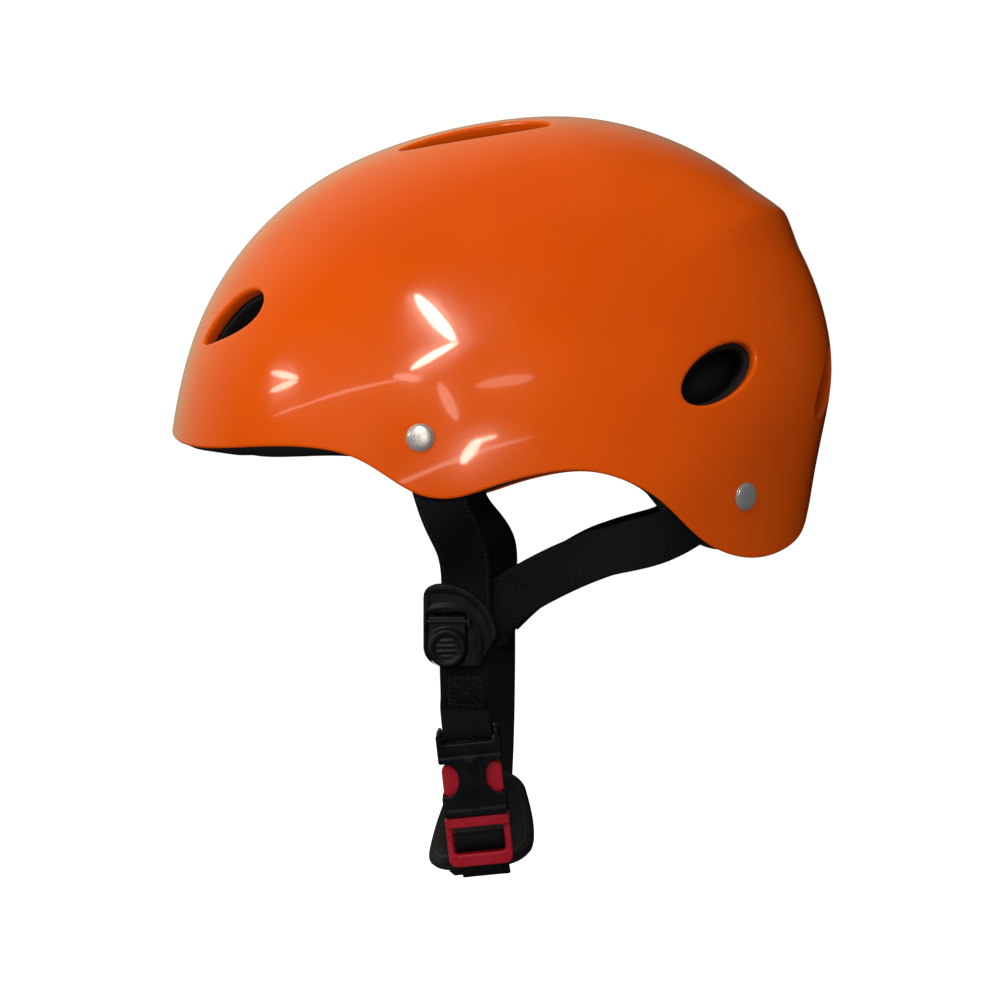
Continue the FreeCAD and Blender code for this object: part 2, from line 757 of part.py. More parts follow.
HALF = cell("buckle_half_width")
LONG = cell("socket_length")
NOTCH_LOW, NOTCH_HIGH = 9.0, 22.5  # where the prongs show through the socket's sides
SPINE = 5.2


def rectangle(x0, y0, x1, y1):
    return polygon([(x0, y0), (x1, y0), (x1, y1), (x0, y1)])


def notch_edges(sign):
    """A D-shaped opening in one side of the socket."""
    mid = (NOTCH_LOW + NOTCH_HIGH) / 2
    a = Vector(sign * (HALF + 2), NOTCH_LOW, 0)
    b = Vector(sign * (HALF - 3.6), NOTCH_LOW, 0)
    c = Vector(sign * (HALF - 3.6), NOTCH_HIGH, 0)
    d = Vector(sign * (HALF + 2), NOTCH_HIGH, 0)
    return [Part.LineSegment(a, b), Part.Arc(b, Vector(sign * SPINE, mid, 0), c),
            Part.LineSegment(c, d), Part.LineSegment(d, a)]


socket, plane = body_with_plane("buckle_socket")
chamfer = 2.0
outline = polygon([(-HALF, 0.15), (HALF, 0.15), (HALF, LONG - chamfer), (HALF - chamfer, LONG),
                   (-HALF + chamfer, LONG), (-HALF, LONG - chamfer)])
pad(socket, "socket_block", flat_sketch(socket, plane, "socket_outline", outline), "dims.socket_depth")
doc.recompute()
slot = flat_sketch(socket, plane, "socket_slot", rectangle(-10.6, 30.6, 10.6, 32.4))
pocket(socket, "socket_slot_cut", slot, 20)
for i, sign in enumerate((-1, 1)):
    notch = flat_sketch(socket, plane, f"socket_notch{i}", notch_edges(sign))
    pocket(socket, f"socket_notch_cut{i}", notch, 20)
bore = flat_sketch(socket, plane, "socket_bore", rectangle(-12.4, -1, 12.4, 25))
pocket(socket, "socket_bore_cut", bore, "dims.socket_bore")
for i, height in enumerate((-4.9, 2.1)):
    relief = flat_sketch(socket, plane, f"bar_relief{i}", rectangle(-10.6, 32.3, 10.6, 40), height)
    made = pocket(socket, f"bar_relief_cut{i}", relief, 2.8, both=False)
    made.Reversed = True
socket.Placement = BUCKLE
node(socket, "buckle_socket")

plug, plane = body_with_plane("buckle_plug")
frame_low = -cell("plug_frame_length")
outline = polygon([(-HALF, -4.2), (-HALF, frame_low + 2), (-HALF + 2, frame_low), (HALF - 2, frame_low),
                   (HALF, frame_low + 2), (HALF, -4.2)])
pad(plug, "plug_frame", flat_sketch(plug, plane, "plug_frame_outline", outline), "dims.plug_frame_depth")
base = flat_sketch(plug, plane, "plug_base_outline", rectangle(-HALF, -4.5, HALF, -0.15))
pad(plug, "plug_base", base, 8.4)
tongue = flat_sketch(plug, plane, "plug_tongue_outline",
                     polygon([(-3.1, -1), (3.1, -1), (3.1, 21), (2.0, 23), (-2.0, 23), (-3.1, 21)]))
pad(plug, "plug_tongue", tongue, "dims.prong_depth")
doc.recompute()
window = flat_sketch(plug, plane, "plug_window", rectangle(-10.4, -16.2, 10.4, -4.8))
pocket(plug, "plug_window_cut", window, 20)
bar = flat_sketch(plug, plane, "plug_bar_outline", rectangle(-11, -12.0, 11, -9.2))
pad(plug, "plug_bar", bar, 3.0)
plug.Placement = BUCKLE
node(plug, "buckle_plug")

for sign, name in ((-1, "buckle_prong_front"), (1, "buckle_prong_rear")):
    prong, plane = body_with_plane(name)
    outline = [(7.4, 0.1), (9.8, 0.1), (9.8, 8.0), (12.2, 9.4), (12.2, 19.6), (10.4, 21.8), (6.9, 21.8),
               (5.1, 18.4), (5.1, 9.8), (7.4, 7.4)]
    outline = [(sign * x, y) for x, y in outline]
    pad(prong, name + "_blade", flat_sketch(prong, plane, name + "_outline", polygon(outline)),
        "dims.prong_depth")
    prong.Placement = BUCKLE
    node(prong, name)


# ---------------------------------------------------------------- lower webbing

def buckle_point(x, y, z):
    return BUCKLE.multVec(Vector(x, y, z))


def buckle_box(name, x0, x1, y0, y1, z0, z1):
    box = doc.addObject("Part::Box", name)
    box.Length, box.Width, box.Height = x1 - x0, y1 - y0, z1 - z0
    box.Placement = BUCKLE.multiply(Placement(Vector(x0, y0, z0), Rotation()))
    return box


THICK = cell("webbing_thick")
WEB = cell("webbing_width") / 2
top_of_strap = Vector(REACH, swing_y(False), SWING_Z)
down = Vector(0, 0, -1)
strap_left = ribbon("lower_strap_web", [
    (top_of_strap, down, Vector(1, 0, 0)),
    (top_of_strap + Vector(0, 0, -11), down, Vector(1, 0, 0)),
    (Vector(75.5, -12.0, -102.5), UP * -1, OUT),
    (buckle_point(0, LONG + 1.6, 0), UP * -1, OUT),
])
disc = doc.addObject("Part::Cylinder", "lower_strap_top")
disc.setExpression("Radius", "dims.webbing_width / 2")
disc.setExpression("Height", "dims.webbing_thick")
sideways = Rotation(Vector(0, 0, 1), Vector(1, 0, 0))
disc.Placement = Placement(top_of_strap - Vector(THICK / 2, 0, 0), sideways)
loop = cut_of("lower_strap_loop",
              buckle_box("lower_loop_outer", -WEB, WEB, 30.9, LONG + 1.7, -3.7, 3.7),
              buckle_box("lower_loop_inner", -WEB - 1, WEB + 1, 30.9 + THICK, LONG + 0.3, -2.3, 2.3))
lower = doc.addObject("Part::MultiFuse", "lower_strap_left")
lower.Shapes = [strap_left, disc, loop]
node(lower, "lower_strap_left")

plug_loop = cut_of("plug_loop",
                   buckle_box("plug_loop_outer", -WEB, WEB, -13.7, -7.5, -3.2, 3.2),
                   buckle_box("plug_loop_inner", -WEB - 1, WEB + 1, -12.3, -8.9, -1.8, 1.8))
node(plug_loop, "chin_strap_end")

# The chin strap runs from the inner side of the plug, below the chin and up to the right
# adjuster: (X, Y, Z).
CHIN_PATH = [(46, -8.3, -171.5), (30, -8.6, -176.5), (10, -8.8, -178.5), (-11, -8.8, -177.5),
             (-32, -8.6, -172.3), (-49, -8.0, -161.5), (-61, -7.2, -145.5), (-69.5, -6.6, -124.0),
             (-77.0, -6.5, -103.0)]
start = buckle_point(0, -13.0, -5.15)
right_top = Vector(-REACH, swing_y(True), SWING_Z)
right_exit = right_top - Vector(0, 0, 11.5)
points = [(start, (OUT * -0.8 - UP * 0.6), Vector(0, 1, 0).cross(OUT * -0.8 - UP * 0.6))]
chin_points = [Vector(*p) for p in CHIN_PATH]
for before, p, after in zip([start] + chin_points, chin_points, chin_points[1:] + [right_exit]):
    run = after - before
    points.append((p, run, Vector(0, 1, 0).cross(run) * -1))
points[0] = (start, points[0][1], points[0][2] * -1)
points.append((right_exit, Vector(0, 0, 1), Vector(-1, 0, 0)))
points.append((right_top, Vector(0, 0, 1), Vector(-1, 0, 0)))
chin_web = ribbon("chin_strap_web", points)
cap = doc.addObject("Part::Cylinder", "chin_strap_top")
cap.setExpression("Radius", "dims.webbing_width / 2")
cap.setExpression("Height", "dims.webbing_thick")
cap.Placement = Placement(right_top - Vector(THICK / 2, 0, 0), Rotation(Vector(0, 0, 1), Vector(1, 0, 0)))
chin = doc.addObject("Part::Fuse", "chin_strap")
chin.Base, chin.Tool = chin_web, cap
node(chin, "chin_strap")

# The chin pad lies on the wearer's side of the strap, along its lowest run.
PAD_START = 2  # the point of the chin path that it starts at
PAD_WIDTHS = (0.6, 0.86, 1.0, 1.0, 0.88, 0.62)  # of its full width, from the buckle's side
pad_sections = []
for i, share in enumerate(PAD_WIDTHS):
    centre, run, facing = points[PAD_START + i]
    run = Vector(run).normalize()
    facing = (facing - run * facing.dot(run)).normalize()
    section = doc.addObject("Part::Plane", f"chin_pad_section{i}")
    section.setExpression("Length", f"dims.chin_pad_width * {share}")
    section.setExpression("Width", "dims.chin_pad_wall")
    across = facing.cross(run)
    wide = cell("chin_pad_width") * share
    corner = centre - across * (wide / 2) - facing * (cell("chin_pad_wall") + THICK / 2 + 0.3)
    section.Placement = Placement(corner, Rotation(across, facing, run, "ZXY"))
    pad_sections.append(section)
chin_pad = doc.addObject("Part::Loft", "chin_pad")
chin_pad.Sections = pad_sections
chin_pad.Solid = True
node(chin_pad, "chin_pad")

# ---------------------------------------------------------------- checks and files

doc.recompute()
for obj in doc.Objects:
    if "Invalid" in obj.State or "Error" in obj.State:
        raise SystemExit(f"{obj.Label} failed: {obj.State}")
os.makedirs("parts", exist_ok=True)
for old in os.listdir("parts"):
    os.remove(os.path.join("parts", old))
for obj in NODES:
    shape = obj.Shape
    if shape.isNull() or not shape.isValid() or not shape.Solids:
        raise SystemExit(f"{obj.Label} has no valid solid")
    print(f"{obj.Label}: {len(shape.Solids)} solids, {shape.Volume / 1000:.2f} cm3")
    shape.exportStep(os.path.join("parts", obj.Label + ".step"))
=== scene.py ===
"""Looks of the water helmet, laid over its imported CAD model. Lengths are in millimetres until a
mesh is made, in the part's own frame: the wearer faces -Y, the wearer's left is +X, +Z is up."""

import math

import bpy
import numpy as np
from mathutils import Matrix, Vector
from mathutils.geometry import delaunay_2d_cdt

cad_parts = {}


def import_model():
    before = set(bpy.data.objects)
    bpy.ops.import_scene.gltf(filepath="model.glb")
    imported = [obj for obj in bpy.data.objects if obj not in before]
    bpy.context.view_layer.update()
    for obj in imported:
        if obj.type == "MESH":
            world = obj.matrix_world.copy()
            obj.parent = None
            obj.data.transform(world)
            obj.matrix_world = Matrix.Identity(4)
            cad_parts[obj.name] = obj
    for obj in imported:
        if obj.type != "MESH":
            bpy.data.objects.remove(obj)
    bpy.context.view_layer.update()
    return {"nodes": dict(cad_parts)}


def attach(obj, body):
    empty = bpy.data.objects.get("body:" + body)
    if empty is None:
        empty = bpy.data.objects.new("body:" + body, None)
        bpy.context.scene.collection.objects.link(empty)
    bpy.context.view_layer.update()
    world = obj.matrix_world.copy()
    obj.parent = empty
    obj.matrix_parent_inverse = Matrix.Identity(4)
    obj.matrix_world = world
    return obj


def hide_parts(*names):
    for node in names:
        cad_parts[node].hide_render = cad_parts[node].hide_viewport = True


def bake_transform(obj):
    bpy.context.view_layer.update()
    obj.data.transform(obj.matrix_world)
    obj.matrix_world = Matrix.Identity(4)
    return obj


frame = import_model()


# ---------------------------------------------------------------- the dome

def spline(xs, ys):
    """The natural cubic spline through the points, as a function of x."""
    xs, ys = np.asarray(xs, float), np.asarray(ys, float)
    n, h = len(xs), np.diff(xs)
    left, right = np.eye(n), np.zeros(ys.shape)
    for i in range(1, n - 1):
        left[i, i - 1:i + 2] = h[i - 1], 2 * (h[i - 1] + h[i]), h[i]
        right[i] = 6 * ((ys[i + 1] - ys[i]) / h[i] - (ys[i] - ys[i - 1]) / h[i - 1])
    bend = np.linalg.solve(left, right)

    def at(x):
        x = np.asarray(x, float)
        i = np.clip(np.searchsorted(xs, x) - 1, 0, n - 2)
        after, before, gap = x - xs[i], xs[i + 1] - x, h[i]
        if ys.ndim > 1:
            after, before, gap = after[..., None], before[..., None], gap[..., None]
        return ((bend[i] * before ** 3 + bend[i + 1] * after ** 3) / (6 * gap)
                + (ys[i] / gap - bend[i] * gap / 6) * before
                + (ys[i + 1] / gap - bend[i + 1] * gap / 6) * after)
    return at


def smooth(x, low, high):
    t = np.clip((x - low) / (high - low), 0, 1)
    return t * t * (3 - 2 * t)


def unit(v):
    v = np.asarray(v, float)
    return v / np.linalg.norm(v, axis=-1, keepdims=True)


HALF_WIDTH, POWER = 109.0, 2.4
HUB = np.array([0.0, 10.0, -50.0])
PROFILE = [(2, 151.6), (15, 156.0), (27.5, 164.0), (38, 172.3), (50, 179.8), (62, 184.2), (74, 185.8),
           (86, 187.9), (98, 190.5), (110, 189.5), (118, 187.0), (126, 181.9), (132, 175.4), (140, 164.9),
           (148, 152.5), (156, 137.4), (164, 126.4), (172, 120.2), (182, 117.2)]
LOWER_EDGE = [(-141, 12), (-136.5, 4.5), (-129, 0.7), (-112, -1), (-70, -1.4), (-54, -5.5), (-39, -14.4),
              (-28, -20), (-15, -21), (-1, -17), (18, -11.8), (37, -10.3), (52, -14), (65, -21),
              (84.4, -38.5), (95, -43.7), (106, -45.2), (117, -42.5), (125, -36.5), (128.5, -28), (131, -18)]
RIDGE_ANGLE, RIDGE_RISE, RIDGE_BEND, RIDGE_SPREAD = 126.3, 3.8, 5.0, 44.0
RIDGE_ABOVE, RIDGE_BELOW, RIDGE_ROUND = 6.0, 5.2, 0.7
radius_at = spline(*zip(*PROFILE))


def base(turn, side):
    """The dome without its crease, at a turn up from the brow and a side angle from the middle."""
    s, c, t = np.sin(np.radians(side)), np.cos(np.radians(side)), np.radians(turn)
    rho = (np.abs(s) ** POWER + np.abs(c) ** POWER) ** (-1 / POWER)
    reach = radius_at(turn) * rho * c
    return np.stack([HALF_WIDTH * rho * s, HUB[1] - reach * np.cos(t), HUB[2] + reach * np.sin(t)], -1)


def normal_of(surface, turn, side, step=0.2):
    across = surface(turn, side + step) - surface(turn, side - step)
    along = surface(turn + step, side) - surface(turn - step, side)
    return unit(np.cross(across, along))


def crease(turn, side):
    away = turn - (RIDGE_ANGLE - RIDGE_BEND * (side / 35) ** 2)
    reach = np.where(away < 0, RIDGE_ABOVE, RIDGE_BELOW)
    rise = np.clip(1 - np.hypot(away, RIDGE_ROUND) / reach, 0, None) ** 1.5
    return RIDGE_RISE * rise * np.clip(1 - (side / RIDGE_SPREAD) ** 2, 0, None) ** 1.2


def dome(turn, side, depth=0.0, creased=False):
    """A point at a depth below the dome."""
    turn, side = np.asarray(turn, float), np.asarray(side, float)
    lift = (crease(turn, side) if creased else 0) - depth
    return base(turn, side) + normal_of(base, turn, side) * np.broadcast_to(lift, turn.shape)[..., None]


def towards(point):
    """The turn and side of the dome's point in the direction of another point from the hub."""
    d = np.asarray(point, float) - HUB
    turn = np.degrees(np.arctan2(d[..., 2], -d[..., 1]))
    reach = np.hypot(d[..., 1], d[..., 2])
    return turn, np.degrees(np.arctan2(d[..., 0] * radius_at(turn) / HALF_WIDTH, reach))


def seen_from_side(y, z, sign):
    """The turn and side of the dome's point with that Y and Z."""
    y, z = np.asarray(y, float) - HUB[1], np.asarray(z, float) - HUB[2]
    turn = np.degrees(np.arctan2(z, -y))
    share = np.clip(np.hypot(y, z) / radius_at(turn), 1e-6, 1)
    return turn, sign * np.degrees(np.arctan((share ** -POWER - 1) ** (1 / POWER)))


FLAT = 330.0


def flatten(point):
    """The dome laid flat: a stereographic map from the hub, seen from above."""
    d = unit(np.asarray(point, float) - HUB)
    return FLAT * d[..., :2] / (1 + d[..., 2:])


def unflatten(xy):
    q = xy / FLAT
    w = (q ** 2).sum(-1, keepdims=True)
    return towards(HUB + np.concatenate([2 * q, 1 - w], -1) / (1 + w))


# ---------------------------------------------------------------- mesh tools

class Shape:
    """Vertices and faces gathered in millimetres, then made into an object."""

    def __init__(self):
        self.xyz, self.shade, self.chart, self.faces, self.count = [], [], [], [], 0

    def add(self, xyz, shade=None, chart=None):
        xyz = np.asarray(xyz, float).reshape(-1, 3)
        n = len(xyz)
        self.xyz.append(xyz)
        self.shade.append(np.zeros((n, 3)) if shade is None else shade)
        self.chart.append(np.zeros((n, 2)) if chart is None else np.asarray(chart, float))
        self.count += n
        return np.arange(self.count - n, self.count)

    def strip(self, a, b, closed=True):
        for i in range(len(a) if closed else len(a) - 1):
            j = (i + 1) % len(a)
            self.faces.append((int(a[i]), int(a[j]), int(b[j]), int(b[i])))

    def strips(self, rows, closed=True):
        for a, b in zip(rows, rows[1:]):
            self.strip(a, b, closed)

    def face(self, row):
        self.faces.append(tuple(int(i) for i in row))

    def make(self, name, material, body=None, stands_for=(), slot=None, sharp=None):
        xyz = np.concatenate(self.xyz)
        mesh = bpy.data.meshes.new(name)
        mesh.from_pydata((xyz * 0.001).tolist(), [], self.faces)
        mesh.validate()
        chart = np.concatenate(self.chart)
        if np.abs(chart).max() > 0:
            corner = np.zeros(len(mesh.loops), int)
            mesh.loops.foreach_get("vertex_index", corner)
            layer = mesh.uv_layers.new(name="chart")
            layer.data.foreach_set("uv", chart[corner].ravel())
        mesh.polygons.foreach_set("use_smooth", [True] * len(mesh.polygons))
        if sharp:
            mesh.set_sharp_from_angle(angle=math.radians(sharp))
        shade = np.concatenate(self.shade)
        if np.abs(shade).max() > 0:
            mesh.normals_split_custom_set_from_vertices(shade.tolist())
        mesh.materials.append(material)
        piece = bpy.data.objects.new(name, mesh)
        bpy.context.collection.objects.link(piece)
        if body:
            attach(piece, body)
        if stands_for:
            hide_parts(*stands_for)
        return piece


def inside(points, loop):
    x, y = points[:, 0, None], points[:, 1, None]
    a, b = loop, np.roll(loop, -1, 0)
    crosses = (a[:, 1] > y) != (b[:, 1] > y)
    rise = np.where(b[:, 1] == a[:, 1], 1.0, b[:, 1] - a[:, 1])
    at = a[:, 0] + (y - a[:, 1]) * (b[:, 0] - a[:, 0]) / rise
    return (crosses & (x < at)).sum(1) % 2 == 1


def clearance(points, loops):
    """Each point's distance from the nearest loop."""
    best = np.full(len(points), 1e9)
    for loop in loops:
        a, b = loop, np.roll(loop, -1, 0)
        d = b - a
        for start in range(0, len(points), 2000):
            p = points[start:start + 2000, None] - a
            t = np.clip((p * d).sum(-1) / np.maximum((d * d).sum(-1), 1e-12), 0, 1)
            gap = np.linalg.norm(p - t[..., None] * d, axis=-1).min(1)
            best[start:start + 2000] = np.minimum(best[start:start + 2000], gap)
    return best


def fill(loops, points):
    """Triangles over scattered points, between the first loop and the other loops, which are
    holes. The loops' own vertices come first, in order."""
    edges, first = [], 0
    for loop in loops:
        n = len(loop)
        edges += [(first + i, first + (i + 1) % n) for i in range(n)]
        first += n
    given = np.concatenate([*loops, points])
    made = delaunay_2d_cdt([Vector(p) for p in given.tolist()], edges, [], 0, 1e-7, True)
    source = np.array([ids[0] if ids else -1 for ids in made[3]])
    faces = np.array([f for f in made[2] if len(f) == 3])
    faces = source[faces]
    faces = faces[(faces >= 0).all(1)]
    centre = given[faces].mean(1)
    keep = inside(centre, loops[0])
    for hole in loops[1:]:
        keep &= ~inside(centre, hole)
    faces = faces[keep]
    a, b, c = (given[faces[:, i]] for i in range(3))
    area = (b[:, 0] - a[:, 0]) * (c[:, 1] - a[:, 1]) - (b[:, 1] - a[:, 1]) * (c[:, 0] - a[:, 0])
    faces[area < 0] = faces[area < 0][:, ::-1]
    return given, faces


def hexagonal(loop, step):
    """Points on a triangular grid that covers a loop."""
    low, high = loop.min(0), loop.max(0)
    rows = np.arange(low[1], high[1], step * 0.866)
    grid = []
    for i, y in enumerate(rows):
        xs = np.arange(low[0] + (i % 2) * step / 2, high[0], step)
        grid.append(np.stack([xs, np.full(len(xs), y)], -1))
    return np.concatenate(grid)


def between(grid, loops, margin):
    """The points inside the first loop, outside the others and clear of them all."""
    grid = grid[inside(grid, loops[0])]
    for hole in loops[1:]:
        grid = grid[~inside(grid, hole)]
    return grid[clearance(grid, loops) > margin]


def run_of(points):
    """How far along a path each of its points lies."""
    return np.concatenate([[0], np.cumsum(np.linalg.norm(np.diff(points, axis=0), axis=1))])


def sample(at, run, values):
    """The path's values that far along it."""
    return np.stack([np.interp(at, run, values[:, k]) for k in range(values.shape[1])], -1)


def resample(points, step, closed=True):
    """Points at even spacing along a path."""
    points = np.asarray(points, float)
    if closed:
        points = np.concatenate([points, points[:1]])
    run = run_of(points)
    n = max(3, int(round(run[-1] / step)))
    at = np.linspace(0, run[-1], n + 1)
    if closed:
        at = at[:-1]
    return sample(at, run, points)


# ---------------------------------------------------------------- materials

class Nodes:
    """A node tree, and a short way to add to it."""

    def __init__(self, tree):
        self.tree = tree

    def node(self, kind, inputs=None, **settings):
        made = self.tree.nodes.new("ShaderNode" + kind)
        for key, value in settings.items():
            setattr(made, key, value)
        for key, value in (inputs or {}).items():
            if isinstance(value, bpy.types.NodeSocket):
                self.tree.links.new(value, made.inputs[key])
            else:
                made.inputs[key].default_value = value
        return made

    def mix(self, value, low, high):
        """A colour between two colours."""
        return self.node("Mix", {0: value, 6: low, 7: high}, data_type="RGBA").outputs[2]


class Look(Nodes):
    """A material, its shader's own values, and the nodes that vary it."""

    def __init__(self, name, **values):
        self.material = bpy.data.materials.new(name)
        self.material.use_nodes = True
        super().__init__(self.material.node_tree)
        self.shader = next(n for n in self.tree.nodes if n.type == "BSDF_PRINCIPLED")
        for key, value in values.items():
            self.shader.inputs[key.replace("_", " ")].default_value = value

    def place(self, scale=(1, 1, 1), chart=False, turn=(0, 0, 0)):
        """Coordinates in millimetres, or along the piece's own chart, scaled."""
        where = self.node("TexCoord").outputs["UV" if chart else "Object"]
        size = scale if chart else [s * 1000 for s in scale]
        return self.node("Mapping", {"Vector": where, "Scale": size, "Rotation": turn}).outputs[0]

    def noise(self, where, scale, detail=3.0, rough=0.5):
        return self.node("TexNoise", {"Vector": where, "Scale": scale, "Detail": detail,
                                      "Roughness": rough}).outputs["Fac"]

    def math(self, how, a, b=0.0, clamp=False):
        return self.node("Math", {0: a, 1: b}, operation=how, use_clamp=clamp).outputs[0]

    def ramp(self, value, low, high, start, end):
        return self.node("MapRange", {"Value": value, "From Min": low, "From Max": high,
                                      "To Min": start, "To Max": end}).outputs[0]

    def colour(self, value, low, high):
        self.tree.links.new(self.mix(value, (*low, 1), (*high, 1)), self.shader.inputs["Base Color"])

    def roughness(self, value):
        self.tree.links.new(value, self.shader.inputs["Roughness"])

    def bump(self, height, distance, strength=1.0, also=None):
        """Bump of that many millimetres, over another bump's normal."""
        inputs = {"Height": height, "Distance": distance * 0.001, "Strength": strength}
        if also is not None:
            inputs["Normal"] = also
        made = self.node("Bump", inputs).outputs[0]
        self.tree.links.new(made, self.shader.inputs["Normal"])
        return made


def shell_look():
    """Gloss-moulded plastic: faint flow variation, a trace of orange peel and fine scratches."""
    look = Look("shell_gloss", Specular_IOR_Level=0.3, Coat_Weight=0.55, Coat_Roughness=0.035,
                Subsurface_Weight=0.04, Subsurface_Scale=0.001, Subsurface_Radius=(1.0, 0.3, 0.05))
    here = look.place()
    flow = look.noise(here, 0.016, 2.0)
    look.colour(look.ramp(flow, 0.35, 0.65, 0, 1), (0.76, 0.089, 0.0012), (0.82, 0.103, 0.0016))
    scratch = look.noise(look.place((0.9, 0.05, 0.25), turn=(0.3, 0.5, 0.2)), 1.0, 6.0, 0.65)
    haze = look.ramp(scratch, 0.62, 0.78, 0.0, 0.10)
    look.roughness(look.math("ADD", look.ramp(look.noise(here, 0.05, 4.0), 0.3, 0.7, 0.13, 0.18), haze))
    peel = look.bump(look.noise(here, 0.22, 2.0), 0.035)
    look.bump(look.noise(here, 1.6, 2.0), 0.004, also=peel)
    return look.material


def foam_look():
    """Closed-cell foam: fine cells, a few larger pores and a dull skin."""
    look = Look("liner_foam", Specular_IOR_Level=0.25)
    here = look.place()
    cells = look.node("TexVoronoi", {"Vector": here, "Scale": 0.75}).outputs["Distance"]
    pores = look.node("TexVoronoi", {"Vector": here, "Scale": 0.16}).outputs["Distance"]
    cloud = look.noise(here, 0.03, 4.0)
    look.colour(look.ramp(cloud, 0.3, 0.7, 0, 1), (0.010, 0.010, 0.011), (0.022, 0.022, 0.024))
    look.roughness(look.ramp(cells, 0.1, 0.6, 0.92, 0.72))
    deep = look.bump(look.math("MINIMUM", look.math("MULTIPLY", pores, 3.0), 0.6), 0.35)
    look.bump(cells, 0.16, also=deep)
    return look.material


def knit_look(name, dark, light, pitch=1.15):
    """A knitted cover: rows of small V-shaped stitches over the piece's chart, in millimetres."""
    look = Look(name, Specular_IOR_Level=0.15, Sheen_Weight=0.04, Sheen_Roughness=0.45)
    parts = look.node("SeparateXYZ", {0: look.place((1 / pitch, 1 / pitch, 1), chart=True)}).outputs
    column = look.math("PINGPONG", parts[0], 0.5)
    slant = look.math("ADD", parts[1], look.math("MULTIPLY", column, 1.1))
    rows = look.math("SINE", look.math("MULTIPLY", slant, 4 * math.pi))
    ribs = look.math("SINE", look.math("MULTIPLY", column, 2 * math.pi))
    height = look.math("ADD", look.math("MULTIPLY", rows, 0.3), look.math("MULTIPLY", ribs, 0.5))
    fuzz = look.noise(look.place(), 3.0, 4.0, 0.7)
    height = look.math("ADD", height, look.math("MULTIPLY", fuzz, 0.8))
    cloud = look.noise(look.place(), 0.04, 3.0)
    look.colour(look.ramp(look.math("ADD", height, cloud), 0.3, 1.9, 0, 1), dark, light)
    look.roughness(look.ramp(fuzz, 0.3, 0.7, 0.82, 0.97))
    look.bump(height, 0.22)
    return look.material


def web_look():
    """Woven webbing: ribs of twill that turn back at each quarter."""
    look = Look("woven_webbing", Specular_IOR_Level=0.22, Sheen_Weight=0.03, Sheen_Roughness=0.4)
    parts = look.node("SeparateXYZ", {0: look.place(chart=True)}).outputs
    zigzag = look.math("PINGPONG", parts[0], 2.5)
    twill = look.math("SINE", look.math("MULTIPLY", look.math("ADD", parts[1], zigzag), 2 * math.pi / 1.5))
    warp = look.math("SINE", look.math("MULTIPLY", parts[0], 2 * math.pi / 0.7))
    height = look.math("ADD", look.math("MULTIPLY", twill, 0.36), look.math("MULTIPLY", warp, 0.22))
    fibre = look.noise(look.place((0.35, 4.0, 1), chart=True), 1.0, 4.0, 0.7)
    height = look.math("ADD", height, look.math("MULTIPLY", fibre, 0.5))
    dusty = look.noise(look.place(), 0.05, 4.0)
    shade = look.ramp(look.math("ADD", height, look.math("MULTIPLY", dusty, 0.7)), 0.1, 1.2, 0, 1)
    look.colour(shade, (0.0016, 0.0020, 0.0028), (0.0085, 0.0105, 0.0145))
    look.roughness(look.ramp(fibre, 0.3, 0.7, 0.55, 0.8))
    look.bump(height, 0.2)
    return look.material


def thread_look():
    look = Look("stitch_thread", Specular_IOR_Level=0.4, Sheen_Weight=0.2)
    twist = look.noise(look.place((3.0, 3.0, 3.0)), 2.0, 3.0)
    look.colour(twist, (0.006, 0.007, 0.009), (0.020, 0.022, 0.028))
    look.roughness(look.ramp(twist, 0.3, 0.7, 0.5, 0.75))
    look.bump(twist, 0.08)
    return look.material


def plastic_look(name, dark, light, rough, coat=0.0, wear=0.12):
    """Satin moulded plastic: a fine spark-eroded grain, faint flow marks and rubbed patches."""
    look = Look(name, Specular_IOR_Level=0.4, Coat_Weight=coat, Coat_Roughness=0.15)
    here = look.place()
    flow = look.noise(here, 0.12, 4.0, 0.6)
    look.colour(look.ramp(flow, 0.3, 0.7, 0, 1), dark, light)
    rub = look.ramp(look.noise(here, 0.35, 5.0, 0.7), 0.5, 0.75, 0.0, -wear)
    look.roughness(look.math("ADD", look.ramp(flow, 0.3, 0.7, rough, rough + 0.08), rub))
    grain = look.bump(look.noise(here, 4.5, 2.0), 0.022)
    look.bump(look.noise(look.place((1.5, 0.1, 0.6)), 1.0, 5.0, 0.7), 0.015, also=grain)
    return look.material


def metal_look():
    look = Look("plated_steel", Metallic=0.72)
    here = look.place()
    spots = look.noise(here, 0.9, 5.0, 0.7)
    look.colour(look.ramp(spots, 0.35, 0.7, 0, 1), (0.93, 0.93, 0.94), (0.87, 0.87, 0.89))
    look.roughness(look.ramp(spots, 0.3, 0.7, 0.24, 0.34))
    look.bump(look.noise(look.place((6.0, 0.4, 2.0)), 1.0, 5.0, 0.7), 0.006)
    return look.material


def hook_look():
    look = Look("hook_tape", Specular_IOR_Level=0.4)
    hooks = look.node("TexVoronoi", {"Vector": look.place(), "Scale": 1.1}).outputs["Distance"]
    look.colour(look.ramp(hooks, 0.1, 0.6, 1, 0), (0.006, 0.006, 0.007), (0.030, 0.030, 0.033))
    look.roughness(look.ramp(hooks, 0.1, 0.6, 0.45, 0.8))
    look.bump(hooks, 0.5)
    return look.material


